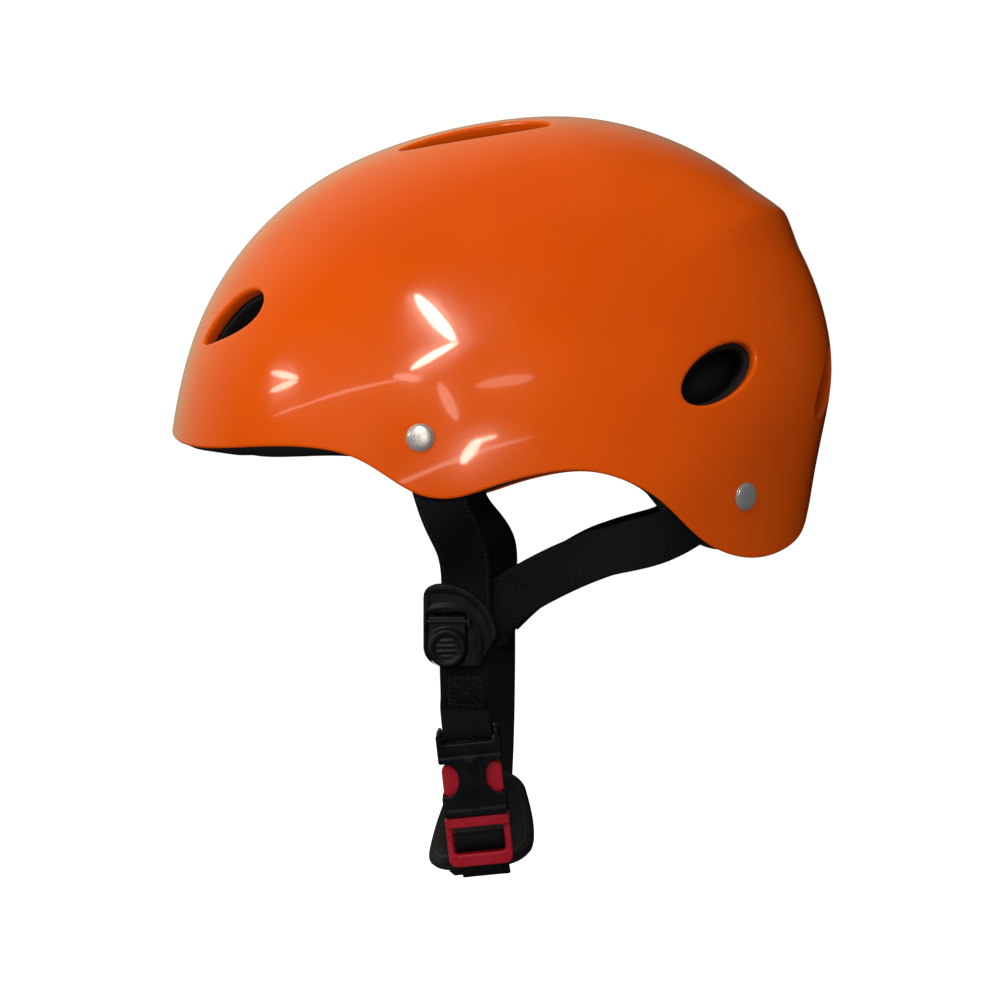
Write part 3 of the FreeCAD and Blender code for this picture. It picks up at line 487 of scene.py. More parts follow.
SHELL = shell_look()
FOAM = foam_look()
KNIT = knit_look("pad_knit", (0.0022, 0.0026, 0.0034), (0.0105, 0.0125, 0.0165))
BINDING = knit_look("pad_binding", (0.0018, 0.0021, 0.0028), (0.0080, 0.0095, 0.0125), pitch=0.7)
WEB_LOOK = web_look()
THREAD = thread_look()
BLACK = plastic_look("black_moulding", (0.0034, 0.0048, 0.0064), (0.0075, 0.0100, 0.0128), 0.38)
RED = plastic_look("red_moulding", (0.36, 0.004, 0.016), (0.44, 0.007, 0.022), 0.32, coat=0.1)
METAL = metal_look()
HOOK = hook_look()


# ---------------------------------------------------------------- camera, light and floor

def look_at(point, target):
    return (Vector(target) - Vector(point)).to_track_quat("-Z", "Y").to_euler()


def camera():
    target, away = Vector((0, -0.0006, -0.0225)), 1.4
    azimuth, elevation = math.radians(92), math.radians(0.4)
    back = Vector((math.sin(azimuth) * math.cos(elevation), -math.cos(azimuth) * math.cos(elevation),
                   math.sin(elevation)))
    data = bpy.data.cameras.new("view")
    data.lens, data.sensor_width = 118.6, 36
    made = bpy.data.objects.new("view", data)
    made.location = target + back * away
    made.rotation_euler = look_at(made.location, target)
    bpy.context.collection.objects.link(made)
    bpy.context.scene.camera = made


def light(name, at, target, size, radiance, glossy=False, shape="RECTANGLE"):
    """A soft area light; radiance is how bright its own face is."""
    data = bpy.data.lights.new(name, "AREA")
    data.shape = shape
    data.color = (1.0, 0.86, 0.72) if glossy else (1.0, 1.0, 1.0)
    data.size, data.size_y = size
    data.energy = radiance * size[0] * size[1] * math.pi
    made = bpy.data.objects.new(name, data)
    made.location = at
    made.rotation_euler = look_at(at, target)
    made.visible_camera = False
    made.visible_glossy = glossy
    bpy.context.collection.objects.link(made)
    return made


def streak(name, a, b, width, radiance, target=(0.1, -0.02, 0.02)):
    """A thin strip light from a to b, which shows as a bright line in the shell's gloss."""
    a, b = Vector(a), Vector(b)
    made = light(name, (a + b) / 2, target, ((b - a).length * 1.15, width), radiance, True, "ELLIPSE")
    out = ((a + b) / 2 - Vector(target)).normalized()
    along = (b - a - out * (b - a).dot(out)).normalized()
    made.rotation_euler = Matrix((along, out.cross(along), out)).transposed().to_euler()
    return made


def stage_look():
    look = Look("pale_floor", Specular_IOR_Level=0.1)
    faint = look.noise(look.place((0.01, 0.01, 0.01)), 1.0, 3.0)
    look.colour(faint, (0.86, 0.86, 0.86), (0.90, 0.90, 0.90))
    look.roughness(look.ramp(faint, 0.3, 0.7, 0.85, 0.95))
    look.shader.inputs["Emission Color"].default_value = (1, 1, 1, 1)
    look.shader.inputs["Emission Strength"].default_value = 0.68
    return look.material


def stage():
    """A pale floor that curves up into a pale backdrop all round."""
    level, inner, bend, top = -230.0, 2600.0, 1600.0, 3200.0
    shape = Shape()
    rows = [(0.01, level), (inner / 2, level), (inner, level)]  # radius and height
    for a in np.linspace(0, math.pi / 2, 13)[1:]:
        rows.append((inner + bend * math.sin(a), level + bend * (1 - math.cos(a))))
    rows.append((inner + bend, top))
    around = np.linspace(0, 2 * math.pi, 97)[:-1]
    circle = np.stack([np.cos(around), np.sin(around)], -1)
    made = [shape.add(np.column_stack([r * circle, np.full(len(circle), z)])) for r, z in rows]
    shape.strips(made[::-1])
    floor = shape.make("floor", stage_look())
    floor.visible_glossy = floor.visible_diffuse = False


GLOW_SIDE, GLOW, ROOM = (-0.62, -0.55, 0.56), (0.74, 0.64, 0.40, 1), (0.42, 0.42, 0.42, 1)


def world():
    scene = bpy.context.scene
    scene.world = scene.world or bpy.data.worlds.new("studio")
    scene.world.use_nodes = True
    room = Nodes(scene.world.node_tree)
    shade = next(n for n in room.tree.nodes if n.type == "BACKGROUND")
    shade.inputs["Strength"].default_value = 1.0
    # Soft white all round, and in reflections a glow above the brow that fades to a dark room.
    slope = room.node("VectorMath", {0: room.node("TexCoord").outputs["Generated"], 1: GLOW_SIDE},
                      operation="DOT_PRODUCT").outputs["Value"]
    share = room.node("MapRange", {"Value": slope, "From Min": 0.5}, interpolation_type="SMOOTHSTEP")
    glow = room.mix(share.outputs["Result"], (0, 0, 0, 1), GLOW)
    mirrored = room.node("LightPath").outputs["Is Glossy Ray"]
    room.tree.links.new(room.mix(mirrored, ROOM, glow), shade.inputs["Color"])
    scene.view_settings.view_transform = "Standard"


camera()
world()
stage()
light("top_softbox", (0.0, -0.3, 1.5), (0, 0, 0), (1.6, 1.6), 1.0)
light("camera_softbox", (1.5, -1.2, 0.6), (0, 0, -0.02), (1.0, 0.9), 3.15)
light("far_softbox", (-1.7, -0.2, 0.8), (0, 0, 0), (1.4, 1.2), 0.9)
streak("gleam_upper", (0.852, -0.366, 0.78), (1.025, -0.235, 0.60), 0.042, 38)
streak("gleam_lower", (1.04, -0.225, 0.575), (1.042, -0.356, 0.496), 0.034, 34)
streak("brow_upper", (0.48, -1.026, 0.447), (0.675, -0.908, 0.448), 0.03, 20)
streak("brow_lower", (0.679, -0.914, 0.431), (0.518, -1.037, 0.374), 0.03, 18)
streak("ear_upper", (1.175, -0.126, 0.235), (1.182, -0.162, 0.17), 0.035, 26)
streak("ear_side", (1.177, -0.087, 0.242), (1.175, -0.126, 0.232), 0.016, 22)
streak("haze_front", (0.801, -0.844, 0.356), (1.032, -0.442, 0.449), 0.012, 6)
streak("haze_brow", (0.591, -1.027, 0.283), (0.804, -0.842, 0.352), 0.010, 5)
streak("haze_middle", (1.099, -0.252, 0.428), (1.148, -0.192, 0.311), 0.035, 5)
streak("haze_left", (1.071, -0.326, 0.451), (1.029, -0.43, 0.468), 0.030, 6)
streak("haze_rear", (1.123, -0.141, 0.414), (1.128, -0.014, 0.426), 0.040, 3.5)
streak("haze_low", (1.112, -0.473, 0.081), (1.183, -0.033, 0.225), 0.014, 5)


# ---------------------------------------------------------------- shell and liner

VENTS = {  # ends of the long axis as (Y, Z), half width, taper towards the first end
    "brow": ((-121.9, 43.4), (-96.3, 60.8), 7.9, 0.42),
    "temple": ((76.5, 18.7), (103.8, 38.5), 9.6, 0.0),
    "nape": ((134.0, 13.5), (139.2, 40.0), 9.0, 0.0),
    "crown": ((-41.0, 124.8), (21.0, 135.3), 7.5, 0.12),
}
SIDES = {"left": 1, "right": -1}
SHELL_WALL = 2.2
LINER_OUT, LINER_IN = 2.6, 20.6


def vent_loop(name, sign, margin, count):
    """A vent's outline on the dome, wider by margin: points, and the way out of the vent."""
    first, last, half_width, taper = VENTS[name]
    ends = [dome(*seen_from_side(*p, sign)) for p in (first, last)]
    half = np.linalg.norm(ends[1] - ends[0]) / 2
    turn, side = seen_from_side(*((ends[0] + ends[1]) / 2)[1:], sign)
    middle, out = dome(turn, side), normal_of(base, turn, side)
    along = ends[1] - ends[0]
    along = unit(along - out * along.dot(out))
    across = np.cross(out, along)
    a = np.linspace(0, 2 * math.pi, count + 1)[:-1, None]
    width = half_width * (1 + taper * np.cos(a)) + margin
    start = middle + along * (half + margin) * np.cos(a) + across * width * np.sin(a)
    point = start
    for _ in range(14):
        point = start + out * ((dome(*towards(point)) - start) @ out)[:, None]
    return point, out


def edge_loop(shift, step):
    """The lower edge all round the dome, moved down the surface by shift(y): turn and side."""
    ys, zs = np.array(LOWER_EDGE, float).T
    run = np.concatenate([[0], np.cumsum(np.hypot(np.diff(ys), np.diff(zs)))])
    curve = spline(run, np.stack([ys, zs], -1))
    fine = curve(np.linspace(0, run[-1], 30001))
    turn = np.degrees(np.arctan2(fine[:, 1] - HUB[2], HUB[1] - fine[:, 0]))
    on = np.hypot(fine[:, 0] - HUB[1], fine[:, 1] - HUB[2]) < radius_at(turn)
    half = dome(*seen_from_side(*fine[on].T, 1))
    half[0, 0] = half[-1, 0] = 0.0
    points = resample(np.concatenate([half, half[-2:0:-1] * (-1, 1, 1)]), step)
    turn, side = towards(points)
    for _ in range(2):
        here = dome(turn, side)
        tangent = unit(np.roll(here, -1, 0) - np.roll(here, 1, 0))
        down = np.cross(tangent, normal_of(base, turn, side))
        down *= -np.sign(down[:, 2].mean())
    moved = points + down * shift(points[:, 1])[:, None]
    return towards(moved), down


def slab(outer, inner, creased, edge_shift, edge_round, rings, step, dent=None, blind=math.inf):
    """A closed skin between two depths of the dome, with vents and a rounded lower edge. rings is
    the rows of (margin, depth) that each vent's wall runs through, and blind is a depth at which
    the temple vents end in a floor."""
    (turn, side), down = edge_loop(lambda y: edge_shift(y) - edge_round, step * 0.8)
    loops, walls = [flatten(dome(turn, side))], []
    for vent in VENTS:
        for sign in SIDES.values():
            count = int(2 * math.pi * (30 if vent == "crown" else 15) / step)
            made = []
            for margin, depth in rings:
                point, out = vent_loop(vent, sign, margin, count)
                if vent != "temple" or depth <= blind:
                    made.append((point, depth, out))
            loops.append(flatten(made[0][0]))
            walls.append(made)
    grid = hexagonal(loops[0], step)
    if creased:  # close rows of points along the crease keep it sharp
        grid = grid[np.abs(crease(*unflatten(grid))) <= 1e-4]
        rows = np.concatenate([np.linspace(-RIDGE_ABOVE, -1.2, 8), np.linspace(-0.9, 0.9, 9),
                               np.linspace(1.2, RIDGE_BELOW, 7)])
        t, s = (part.ravel() for part in np.meshgrid(rows, np.linspace(-45, 45, 141)))
        ridge = flatten(dome(RIDGE_ANGLE - RIDGE_BEND * (s / 35) ** 2 + t, s))
        grid = np.concatenate([grid, ridge])
    flat, faces = fill(loops, between(grid, loops, step * 0.45))
    turn, side = unflatten(flat)
    shape = Shape()
    skins = []
    for depth, face_order in ((outer, 1), (inner, -1)):
        def surface(t, s, depth=depth):
            return dome(t, s, depth, creased)
        xyz = surface(turn, side)
        normal = normal_of(surface, turn, side)
        if dent is not None and depth == outer:
            xyz = xyz - normal * dent(xyz)[:, None]
            ids = shape.add(xyz)
        else:
            ids = shape.add(xyz, normal * face_order)
        shape.faces += [tuple(int(i) for i in ids[f[::face_order]]) for f in faces]
        skins.append(ids)
    n = len(loops[0])
    top, bottom = skins[0][:n], skins[1][:n]
    points = np.concatenate(shape.xyz)
    rows = [top]
    for a in np.linspace(0, math.pi, 13)[1:-1]:
        share = edge_round * (1 - abs(math.cos(a))) / (inner - outer)
        sink = share if a < math.pi / 2 else 1 - share
        row = points[top] + (points[bottom] - points[top]) * sink + down * edge_round * math.sin(a)
        rows.append(shape.add(row))
    rows.append(bottom)
    shape.strips(rows[::-1])
    first = n
    for wall, hole in zip(walls, loops[1:]):
        count = len(hole)
        top, bottom = skins[0][first:first + count], skins[1][first:first + count]
        first += count
        rows = [top]
        for point, depth, out in wall[1:]:
            rows.append(shape.add(point - out * depth))
        if len(wall) < len(rings):
            shape.strips(rows)
            shape.face(rows[-1][::-1])
            shape.face(bottom)
        else:
            shape.strips(rows + [bottom])
    return shape


LIP, LIP_DEPTH, LIP_ROUND = 1.8, 5.5, 1.7


SHELL_RINGS = [(LIP + 0.3, 0)]
for a in np.linspace(0, math.pi / 2, 9)[1:]:
    SHELL_RINGS.append((LIP_ROUND * (1 - math.sin(a)), LIP_ROUND * (1 - math.cos(a))))
SHELL_RINGS += [(0, LIP_DEPTH - 0.5), (0.15, LIP_DEPTH - 0.15), (0.5, LIP_DEPTH), (LIP - 0.5, LIP_DEPTH),
                (LIP - 0.15, LIP_DEPTH - 0.15), (LIP, LIP_DEPTH - 0.5), (LIP, SHELL_WALL + 0.5)]
DEEP = LIP_DEPTH + 0.5
BLIND = 15.0
LINER_RINGS = [(LIP + 0.6, LINER_OUT), (LIP + 0.5, LINER_OUT + 0.4), (LIP + 0.5, DEEP - 0.3), (LIP, DEEP),
               (-1.0, DEEP), (-1.5, DEEP + 0.3), (-1.6, DEEP + 1), (-1.6, BLIND), (-1.6, LINER_IN - 2.4),
               (-1.0, LINER_IN - 0.8), (0.4, LINER_IN)]


def liner_drop(y):
    """The liner stands 1 mm below the shell at the brow and 2 mm inside it elsewhere."""
    return 1.0 - 3.0 * smooth(y, -78, -58)


RIVETS = {"front": (-28.3, 2.7), "rear": (100.2, -20.5)}
STRAP_ENDS = {"front": (-19.0, -26.0), "rear": (70.0, -36.0)}
STRAP_POCKET = 6.6


def rivet_frame(where, sign):
    turn, side = seen_from_side(*RIVETS[where], sign)
    return dome(turn, side), normal_of(base, turn, side)


def strap_dent(points):
    """How far the liner is cut back where a strap's end and rivet lie in it."""
    dent = np.zeros(len(points))
    for where in RIVETS:
        for sign in SIDES.values():
            centre, out = rivet_frame(where, sign)
            down = dome(*seen_from_side(*STRAP_ENDS[where], sign)) - centre
            down = unit(down - out * down.dot(out))
            across = np.cross(out, down)
            d = points - centre
            near = (d @ out) > -40
            x, y = np.abs(d @ across), d @ down
            pocket = STRAP_POCKET * near * smooth(x, 14.5, 11.5)
            dent = np.maximum(dent, pocket * smooth(y, -14, -10) * smooth(y, 54, 50))
    return dent


STEP = 2.6
slab(0.0, SHELL_WALL, True, lambda y: np.zeros(len(y)), SHELL_WALL / 2, SHELL_RINGS, STEP).make(
    "shell_skin", SHELL, "helmet", ["outer_shell"], "shell")
slab(LINER_OUT, LINER_IN, False, liner_drop, 3.0, LINER_RINGS, 4.0, strap_dent, BLIND).make(
    "liner_foam", FOAM, "helmet", ["eva_liner"], "liner")


# ---------------------------------------------------------------- webbing

class Band:
    """Webbing along a smooth path of (centre, facing) stations. Its chart is in millimetres."""

    def __init__(self, stations, width=20.0, thick=1.3):
        centres = np.array([s[0] for s in stations], float)
        self.run = run_of(centres)
        self.centre_at, self.width, self.thick = spline(self.run, centres), width, thick
        self.facings = unit([s[1] for s in stations])

    def point(self, s, x, z):
        """Points at a run along the band, x across it and z above its middle."""
        s = np.asarray(s, float)
        run = unit(self.centre_at(s + 0.05) - self.centre_at(s - 0.05))
        facing = sample(s, self.run, self.facings)
        facing = unit(facing - run * (facing * run).sum(-1, keepdims=True))
        across = np.cross(facing, run)
        return self.centre_at(s) + across * np.asarray(x)[..., None] + facing * np.asarray(z)[..., None]

    def build(self, start=0.0, end=None, step=1.0, wave=0.0):
        end = self.run[-1] if end is None else end
        half, r = self.width / 2, 0.75
        xs = np.concatenate([[-half, -half + 0.12, -half + 0.4], np.linspace(-half + r, half - r, 23),
                             [half - 0.4, half - 0.12, half]])
        over = np.clip(np.abs(xs) - (half - r), 0, r)
        z = self.thick / 2 * np.sqrt(np.clip(1 - (over / r) ** 2, 0, 1))
        z = z * (1 + 0.10 * np.exp(-((np.abs(xs) - half + 1.5) / 0.8) ** 2))
        ring_x = np.concatenate([xs, xs[-2:0:-1]])
        ring_z = np.concatenate([z, -z[-2:0:-1]])
        shape, rows = Shape(), []
        for s in np.linspace(start, end, max(4, int((end - start) / step))):
            lift = wave * math.sin(s * 0.21) * np.cos(ring_x * 0.16)
            xyz = self.point(np.full(len(ring_x), s), ring_x, ring_z + lift)
            rows.append(shape.add(xyz, chart=np.stack([ring_x, np.full(len(ring_x), s)], -1)))
        shape.strips(rows)
        shape.face(rows[0])
        shape.face(rows[-1][::-1])
        return shape


def stitches(shape, points, normals, pitch=2.7, share=0.72, radius=0.24):
    """A row of separate stitches along a path that lies on a surface."""
    points, normals = np.asarray(points), np.asarray(normals)
    run = run_of(points)
    around = np.linspace(0, 2 * math.pi, 7)[:-1]
    for k in range(int(run[-1] / pitch)):
        at = (k + 0.14 + np.linspace(0, share, 6)) * pitch
        p = sample(at, run, points)
        n = unit(sample(at, run, normals))
        t = unit(np.gradient(p, axis=0))
        side = np.cross(n, t)
        bow = np.sin(np.linspace(0, math.pi, 6))
        thin = 0.55 + 0.45 * bow
        rows = []
        for i in range(6):
            c = p[i] + n[i] * (-0.16 + 0.30 * bow[i])
            ring = [c + radius * thin[i] * (side[i] * math.cos(a) + n[i] * math.sin(a)) for a in around]
            rows.append(shape.add(ring))
        shape.strips(rows)
        shape.face(rows[0][::-1])
        shape.face(rows[-1])


STRAP_GAP = {"front": 1.1, "rear": 1.05}
REACH, SWING_Z, LAYER, TUCK = 80.0, -80.0, 1.7, 9.0
HANG = {"left": -12.0, "right": -6.5}
WEB = 1.3


def wall_station(where, y, z, sign):
    turn, side = seen_from_side(y, z, sign)
    return dome(turn, side, SHELL_WALL + STRAP_GAP[where] + WEB / 2), normal_of(base, turn, side)


def upper_strap(where, side):
    """A strap from its rivet to its adjuster."""
    sign, hang = SIDES[side], HANG[side]
    (y, z), (ey, ez) = RIVETS[where], STRAP_ENDS[where]
    length = math.hypot(ey - y, ez - z)
    shares = (-TUCK / length, 0, 0.5, 1)
    stations = [wall_station(where, y + (ey - y) * t, z + (ez - z) * t, sign) for t in shares]
    if where == "front":
        x = REACH + LAYER
        free = [((91.2, hang - 0.8, -41), (1, 0, 0.3)), ((x - 0.05, hang + 0.7, -57), (1, 0, 0)),
                ((x, hang + 0.6, -64), (1, 0, 0)), ((x, hang + 0.5, -73), (1, 0, 0))]
    else:
        x = REACH - LAYER
        free = [((90.5, 46, -42.2), (1, 0.25, 0.35)), ((82.2, hang + 32, -53), (1, 0.12, 0.12)),
                ((x + 0.25, hang + 18.5, -61.2), (1, 0, 0)), ((x, hang + 11.5, -67), (1, 0, 0)),
                ((x, hang + 4, -74.3), (1, 0, 0))]
    stations += [(np.array(p) * (sign, 1, 1), np.array(f) * (sign, 1, 1)) for p, f in free]
    band = Band(stations)
    name = f"{where}_strap_{side}"
    band.build(wave=0.05).make(f"{name}_web", WEB_LOOK, "helmet", [name], "webbing")
    if where == "front":
        shape = Shape()
        for x in (-8.6, 8.6):
            s = np.linspace(2, band.run[-1] - 6, 60)
            top = band.point(s, np.full(60, x), np.full(60, WEB / 2 + 0.02))
            stitches(shape, top, top - band.point(s, np.full(60, x), np.zeros(60)), 2.2, 0.7, 0.16)
        shape.make(f"{name}_stitches", THREAD, "helmet", slot="webbing")


for side in SIDES:
    upper_strap("front", side)
    upper_strap("rear", side)

BUCKLE_AT = np.array([63.6, -7.9, -149.2])
UP = unit([0.165, -0.1, 0.98])
OUT = unit(np.array([1.0, 0, 0]) - UP * UP[0])
ACROSS = np.cross(UP, OUT)


def buckle(x, y, z):
    """A point in the buckle's own frame: x towards the nape, y up the strap, z outwards."""
    return BUCKLE_AT + ACROSS * x + UP * y + OUT * z


def lower_strap():
    """From the left adjuster down to the socket, round its bar and back up on its inner side."""
    down = [((REACH, HANG["left"], SWING_Z), (1, 0, 0)), ((REACH, -12, -91), (1, 0, 0)),
            ((75.5, -12, -102.5), OUT)]
    guide = Band(down + [(buckle(0, 44, 1.0), OUT), (buckle(0, 36.5, 2.9), OUT)])
    round_bar = [(44.0, 0.95, 1, 0), (40.2, 2.1, 1, 0.1), (36.4, 3.0, 1, 0), (33.4, 3.0, 1, -0.1),
                 (31.8, 1.9, 0.7, -0.7), (31.6, 0.0, 0, -1), (31.8, -1.9, -0.7, -0.7),
                 (33.4, -3.0, -1, 0), (36.4, -3.0, -1, 0), (40.2, -0.9, -1, 0.1)]
    loop = [(buckle(0, y, z), OUT * f + UP * g) for y, z, f, g in round_bar]
    end = guide.run[3]
    tail = [(guide.point(end - back, 0.0, -1.38), -OUT) for back in (2.0, 8.0, 14.0, 19.0)]
    band = Band(down + loop + tail)
    piece = band.build(step=0.6).make("lower_strap_web", WEB_LOOK, slot="webbing")
    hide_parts("lower_strap_left")
    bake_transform(piece)
    shape = Shape()
    s0, s1 = end - 15.5, end - 3.0
    box = [(s0, -6.5), (s1, -6.5), (s1, 6.5), (s0, 6.5), (s0, -6.5), (s1, 6.5), (s1, -6.5), (s0, 6.5)]
    for (a, x0), (b, x1) in zip(box, box[1:]):
        n = 24
        s, x, low = np.linspace(a, b, n), np.linspace(x0, x1, n), np.full(n, -0.7)
        for face in (0.67, -2.05):
            on, below = guide.point(s, x, np.full(n, face)), guide.point(s, x, low)
            stitches(shape, on, on - below, 2.2, 0.72, 0.2)
    shape.make("lower_strap_stitches", THREAD, "chin_loop", slot="webbing")


CHIN_PATH = [(46, -8.3, -171.5), (30, -8.6, -176.5), (10, -8.8, -178.5), (-11, -8.8, -177.5),
             (-32, -8.6, -172.3), (-49, -8.0, -161.5), (-61, -7.2, -145.5), (-69.5, -6.6, -124.0),
             (-77.0, -6.5, -103.0)]


def chin_band():
    """From the free tail, round the plug's bar and under the chin to the right adjuster."""
    sideways = -ACROSS
    start, away = buckle(0, -13.0, -5.15), unit(OUT * -0.8 - UP * 0.6)
    under = unit(OUT * 0.6 - UP * 0.8)
    hang = HANG["right"]
    tail = [(start + away * t + under * 1.5, under) for t in (30, 22, 14, 7, 2.0)]
    tail[0] = (start + away * 30 + under * 3.4, under)
    tail[1] = (start + away * 22 + under * 1.9, under)
    loop = [(-13.9, -2.3, 0.2, -1), (-13.3, 0.2, 0.4, -0.9), (-12.4, 2.0, 0.8, -0.6), (-10.6, 2.65, 1, 0),
            (-8.8, 2.0, 0.7, 0.7), (-7.95, 0, 0, 1), (-8.2, -2.2, -0.4, 0.9), (-10.0, -4.1, -0.9, 0.4)]
    stations = tail + [(buckle(0, y, z), OUT * f + UP * g) for y, z, f, g in loop]
    path = [start] + [np.array(p, float) for p in CHIN_PATH] + [np.array([-REACH, hang, -91.5])]
    ends = path[1:] + [np.array([-REACH, hang, SWING_Z])]
    for before, here, after in zip([start - away * 3] + path, path, ends):
        stations.append((here, np.cross(unit(after - before), sideways)))
    stations.append(((-REACH, hang, SWING_Z), (1, 0, 0)))
    return Band(stations), len(tail) + len(loop)


lower_strap()
chin, chin_first = chin_band()
split = chin.run[chin_first + 4]
piece = chin.build(0, split, 0.8).make("chin_strap_front_web", WEB_LOOK, slot="webbing")
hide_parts("chin_strap_end")
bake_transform(piece)
piece = chin.build(split, None, 1.0).make("chin_strap_web", WEB_LOOK, slot="webbing")
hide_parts("chin_strap")
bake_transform(piece)


# ---------------------------------------------------------------- padded pieces

def cushion(place, length, half_at, thick, corner, groove=None, rings=110, sides=84, power=3.4):
    """A closed padded form. place(u, v, z) puts a point along, across and above it in space."""
    shape, rows = Shape(), []
    a = np.linspace(0, 2 * math.pi, sides + 1)[:-1]
    cx = np.sign(np.cos(a)) * np.abs(np.cos(a)) ** (2 / power)
    cz = np.sign(np.sin(a)) * np.abs(np.sin(a)) ** (2 / power)
    t = (1 - np.cos(np.linspace(0, math.pi, rings))) / 2
    for u in t * length:
        gap = min(u, length - u)
        inset = max(0.0, corner - gap)
        half = half_at(u) - corner + math.sqrt(max(corner ** 2 - inset ** 2, 0))
        body = math.sqrt(max(0.0, 1 - max(0.0, 1 - gap / (thick * 0.55)) ** 2)) * thick / 2
        v = half * cx
        z = body * cz * (1 + 0.10 * (1 - cx ** 2))
        if groove is not None:
            z = z - np.where(z > 0, groove(np.full(sides, u), v) * (z / max(body, 0.01)), 0)
        rows.append(shape.add(place(np.full(sides, u), v, z), chart=np.stack([np.full(sides, u), v], -1)))
    shape.strips(rows)
    shape.face(rows[0])
    shape.face(rows[-1][::-1])
    return shape


def outline_of(length, half_at, corner, inset=0.0, n=160):
    """The edge of a cushion's plan as (u, v), drawn in by inset."""
    side = []
    for t in (1 - np.cos(np.linspace(0, math.pi, n))) / 2:
        u = inset + t * (length - 2 * inset)
        r = max(corner - inset, 1.0)
        gap = max(0.0, r - min(u - inset, length - inset - u))
        side.append((u, half_at(u) - inset - r + math.sqrt(max(r * r - gap * gap, 0))))
    side = np.array(side)
    loop = np.concatenate([side, side[::-1] * (1, -1)])
    return resample(loop, 1.2)


def tube(shape, points, radius, sides=10):
    """A closed round tube through points."""
    t = unit(np.roll(points, -1, 0) - np.roll(points, 1, 0))
    n = unit(np.cross(t, unit(points - points.mean(0))))
    b = np.cross(t, n)
    run = run_of(points)
    rows = []
    for k in range(sides):
        a = 2 * math.pi * k / sides
        ring = points + radius * (n * math.cos(a) + b * math.sin(a))
        rows.append(shape.add(ring, chart=np.stack([np.full(len(run), radius * a), run], -1)))
    shape.strips(rows + rows[:1])


def soft_pad(name, body, form, binding, seams, fineness=(110, 84)):
    """A padded cover with a bound edge and rows of stitches. form is its (place, length, half_at,
    thick, corner, groove), binding (inset, level, radius), and each seam (inset, level)."""
    place, length, half_at, _, corner, _ = form
    cover = cushion(*form, *fineness).make(f"{name}_cover", KNIT, body, [name], "pad")
    inset, level, radius = binding
    u, v = outline_of(length, half_at, corner, inset).T
    shape = Shape()
    tube(shape, place(u, v, np.full(len(u), level)), radius)
    shape.make(f"{name}_binding", BINDING, body, slot="pad")
    shape = Shape()
    for inset, level in seams:
        path = outline_of(length, half_at, corner, inset)
        u, v = np.concatenate([path, path[:1]]).T
        z = np.full(len(u), level)
        on = place(u, v, z)
        stitches(shape, on, on - place(u, v, z - 1), 2.6, 0.7, 0.2)
    shape.make(f"{name}_stitches", THREAD, body, slot="pad")


CHIN_WIDE, CHIN_THICK = 43.0, 7.0
PAD_SHARES = (0.6, 0.86, 1.0, 1.0, 0.88, 0.62)  # of the full width, from end to end
PAD_LIFT = WEB / 2 + 0.35 + CHIN_THICK / 2


def chin_pad():
    """The pad, and two sleeves that hold it on its strap."""
    marks = chin.run[chin_first + 2:chin_first + 8]
    pad_from, length = marks[0], marks[-1] - marks[0]
    half_at = spline(marks - pad_from, np.array(PAD_SHARES) * CHIN_WIDE / 2)

    def place(u, v, z):
        return chin.point(pad_from + u, v, z + PAD_LIFT)

    def groove(u, v):
        sewn = 1.6 * np.exp(-((half_at(u) - np.abs(v) - 7.5) / 1.1) ** 2)
        return sewn * smooth(u, 4, 12) * smooth(u, length - 4, length - 12)

    soft_pad("chin_pad", "chin_loop", (place, length, half_at, CHIN_THICK, 9.0, groove),
             (0.4, 0.0, 1.25), ((2.6, 2.75), (7.5, 2.1)))
    x = np.concatenate([np.linspace(-12.5, -10.6, 4), np.linspace(-9.8, 9.8, 15),
                        np.linspace(10.6, 12.5, 4)])
    over = smooth(np.abs(x), 12.6, 10.4)
    z = -1.15 * over + 0.65 * (1 - over)
    ring_x, ring_z = np.concatenate([x, x[::-1]]), np.concatenate([z, z[::-1] + 0.5])
    for k, at in enumerate((0.2, 0.78)):
        shape, rows = Shape(), []
        for d in np.linspace(-6, 6, 9):
            xyz = chin.point(np.full(len(ring_x), pad_from + at * length + d), ring_x, ring_z)
            rows.append(shape.add(xyz, chart=np.stack([ring_x, np.full(len(ring_x), d)], -1)))
        shape.strips(rows)
        shape.face(rows[0])
        shape.face(rows[-1][::-1])
        shape.make(f"chin_pad_sleeve_{k}", WEB_LOOK, "chin_loop", slot="webbing")


PADS = {  # turns and side angles that each comfort pad covers
    "brow_pad": ((25.5, 36), (-40, 40)),
    "crown_pad": ((68, 112), (-5.6, 5.6)),
    "side_pad_left": ((62, 116), (52, 68)),
    "side_pad_right": ((62, 116), (-68, -52)),
    "nape_pad": ((156.5, 166.5), (-38, 38)),
}
PAD_BACK, PAD_THICK = 22.0, 7.5
CHANNEL_GAP, CHANNEL_DEPTH = 38, 2.2


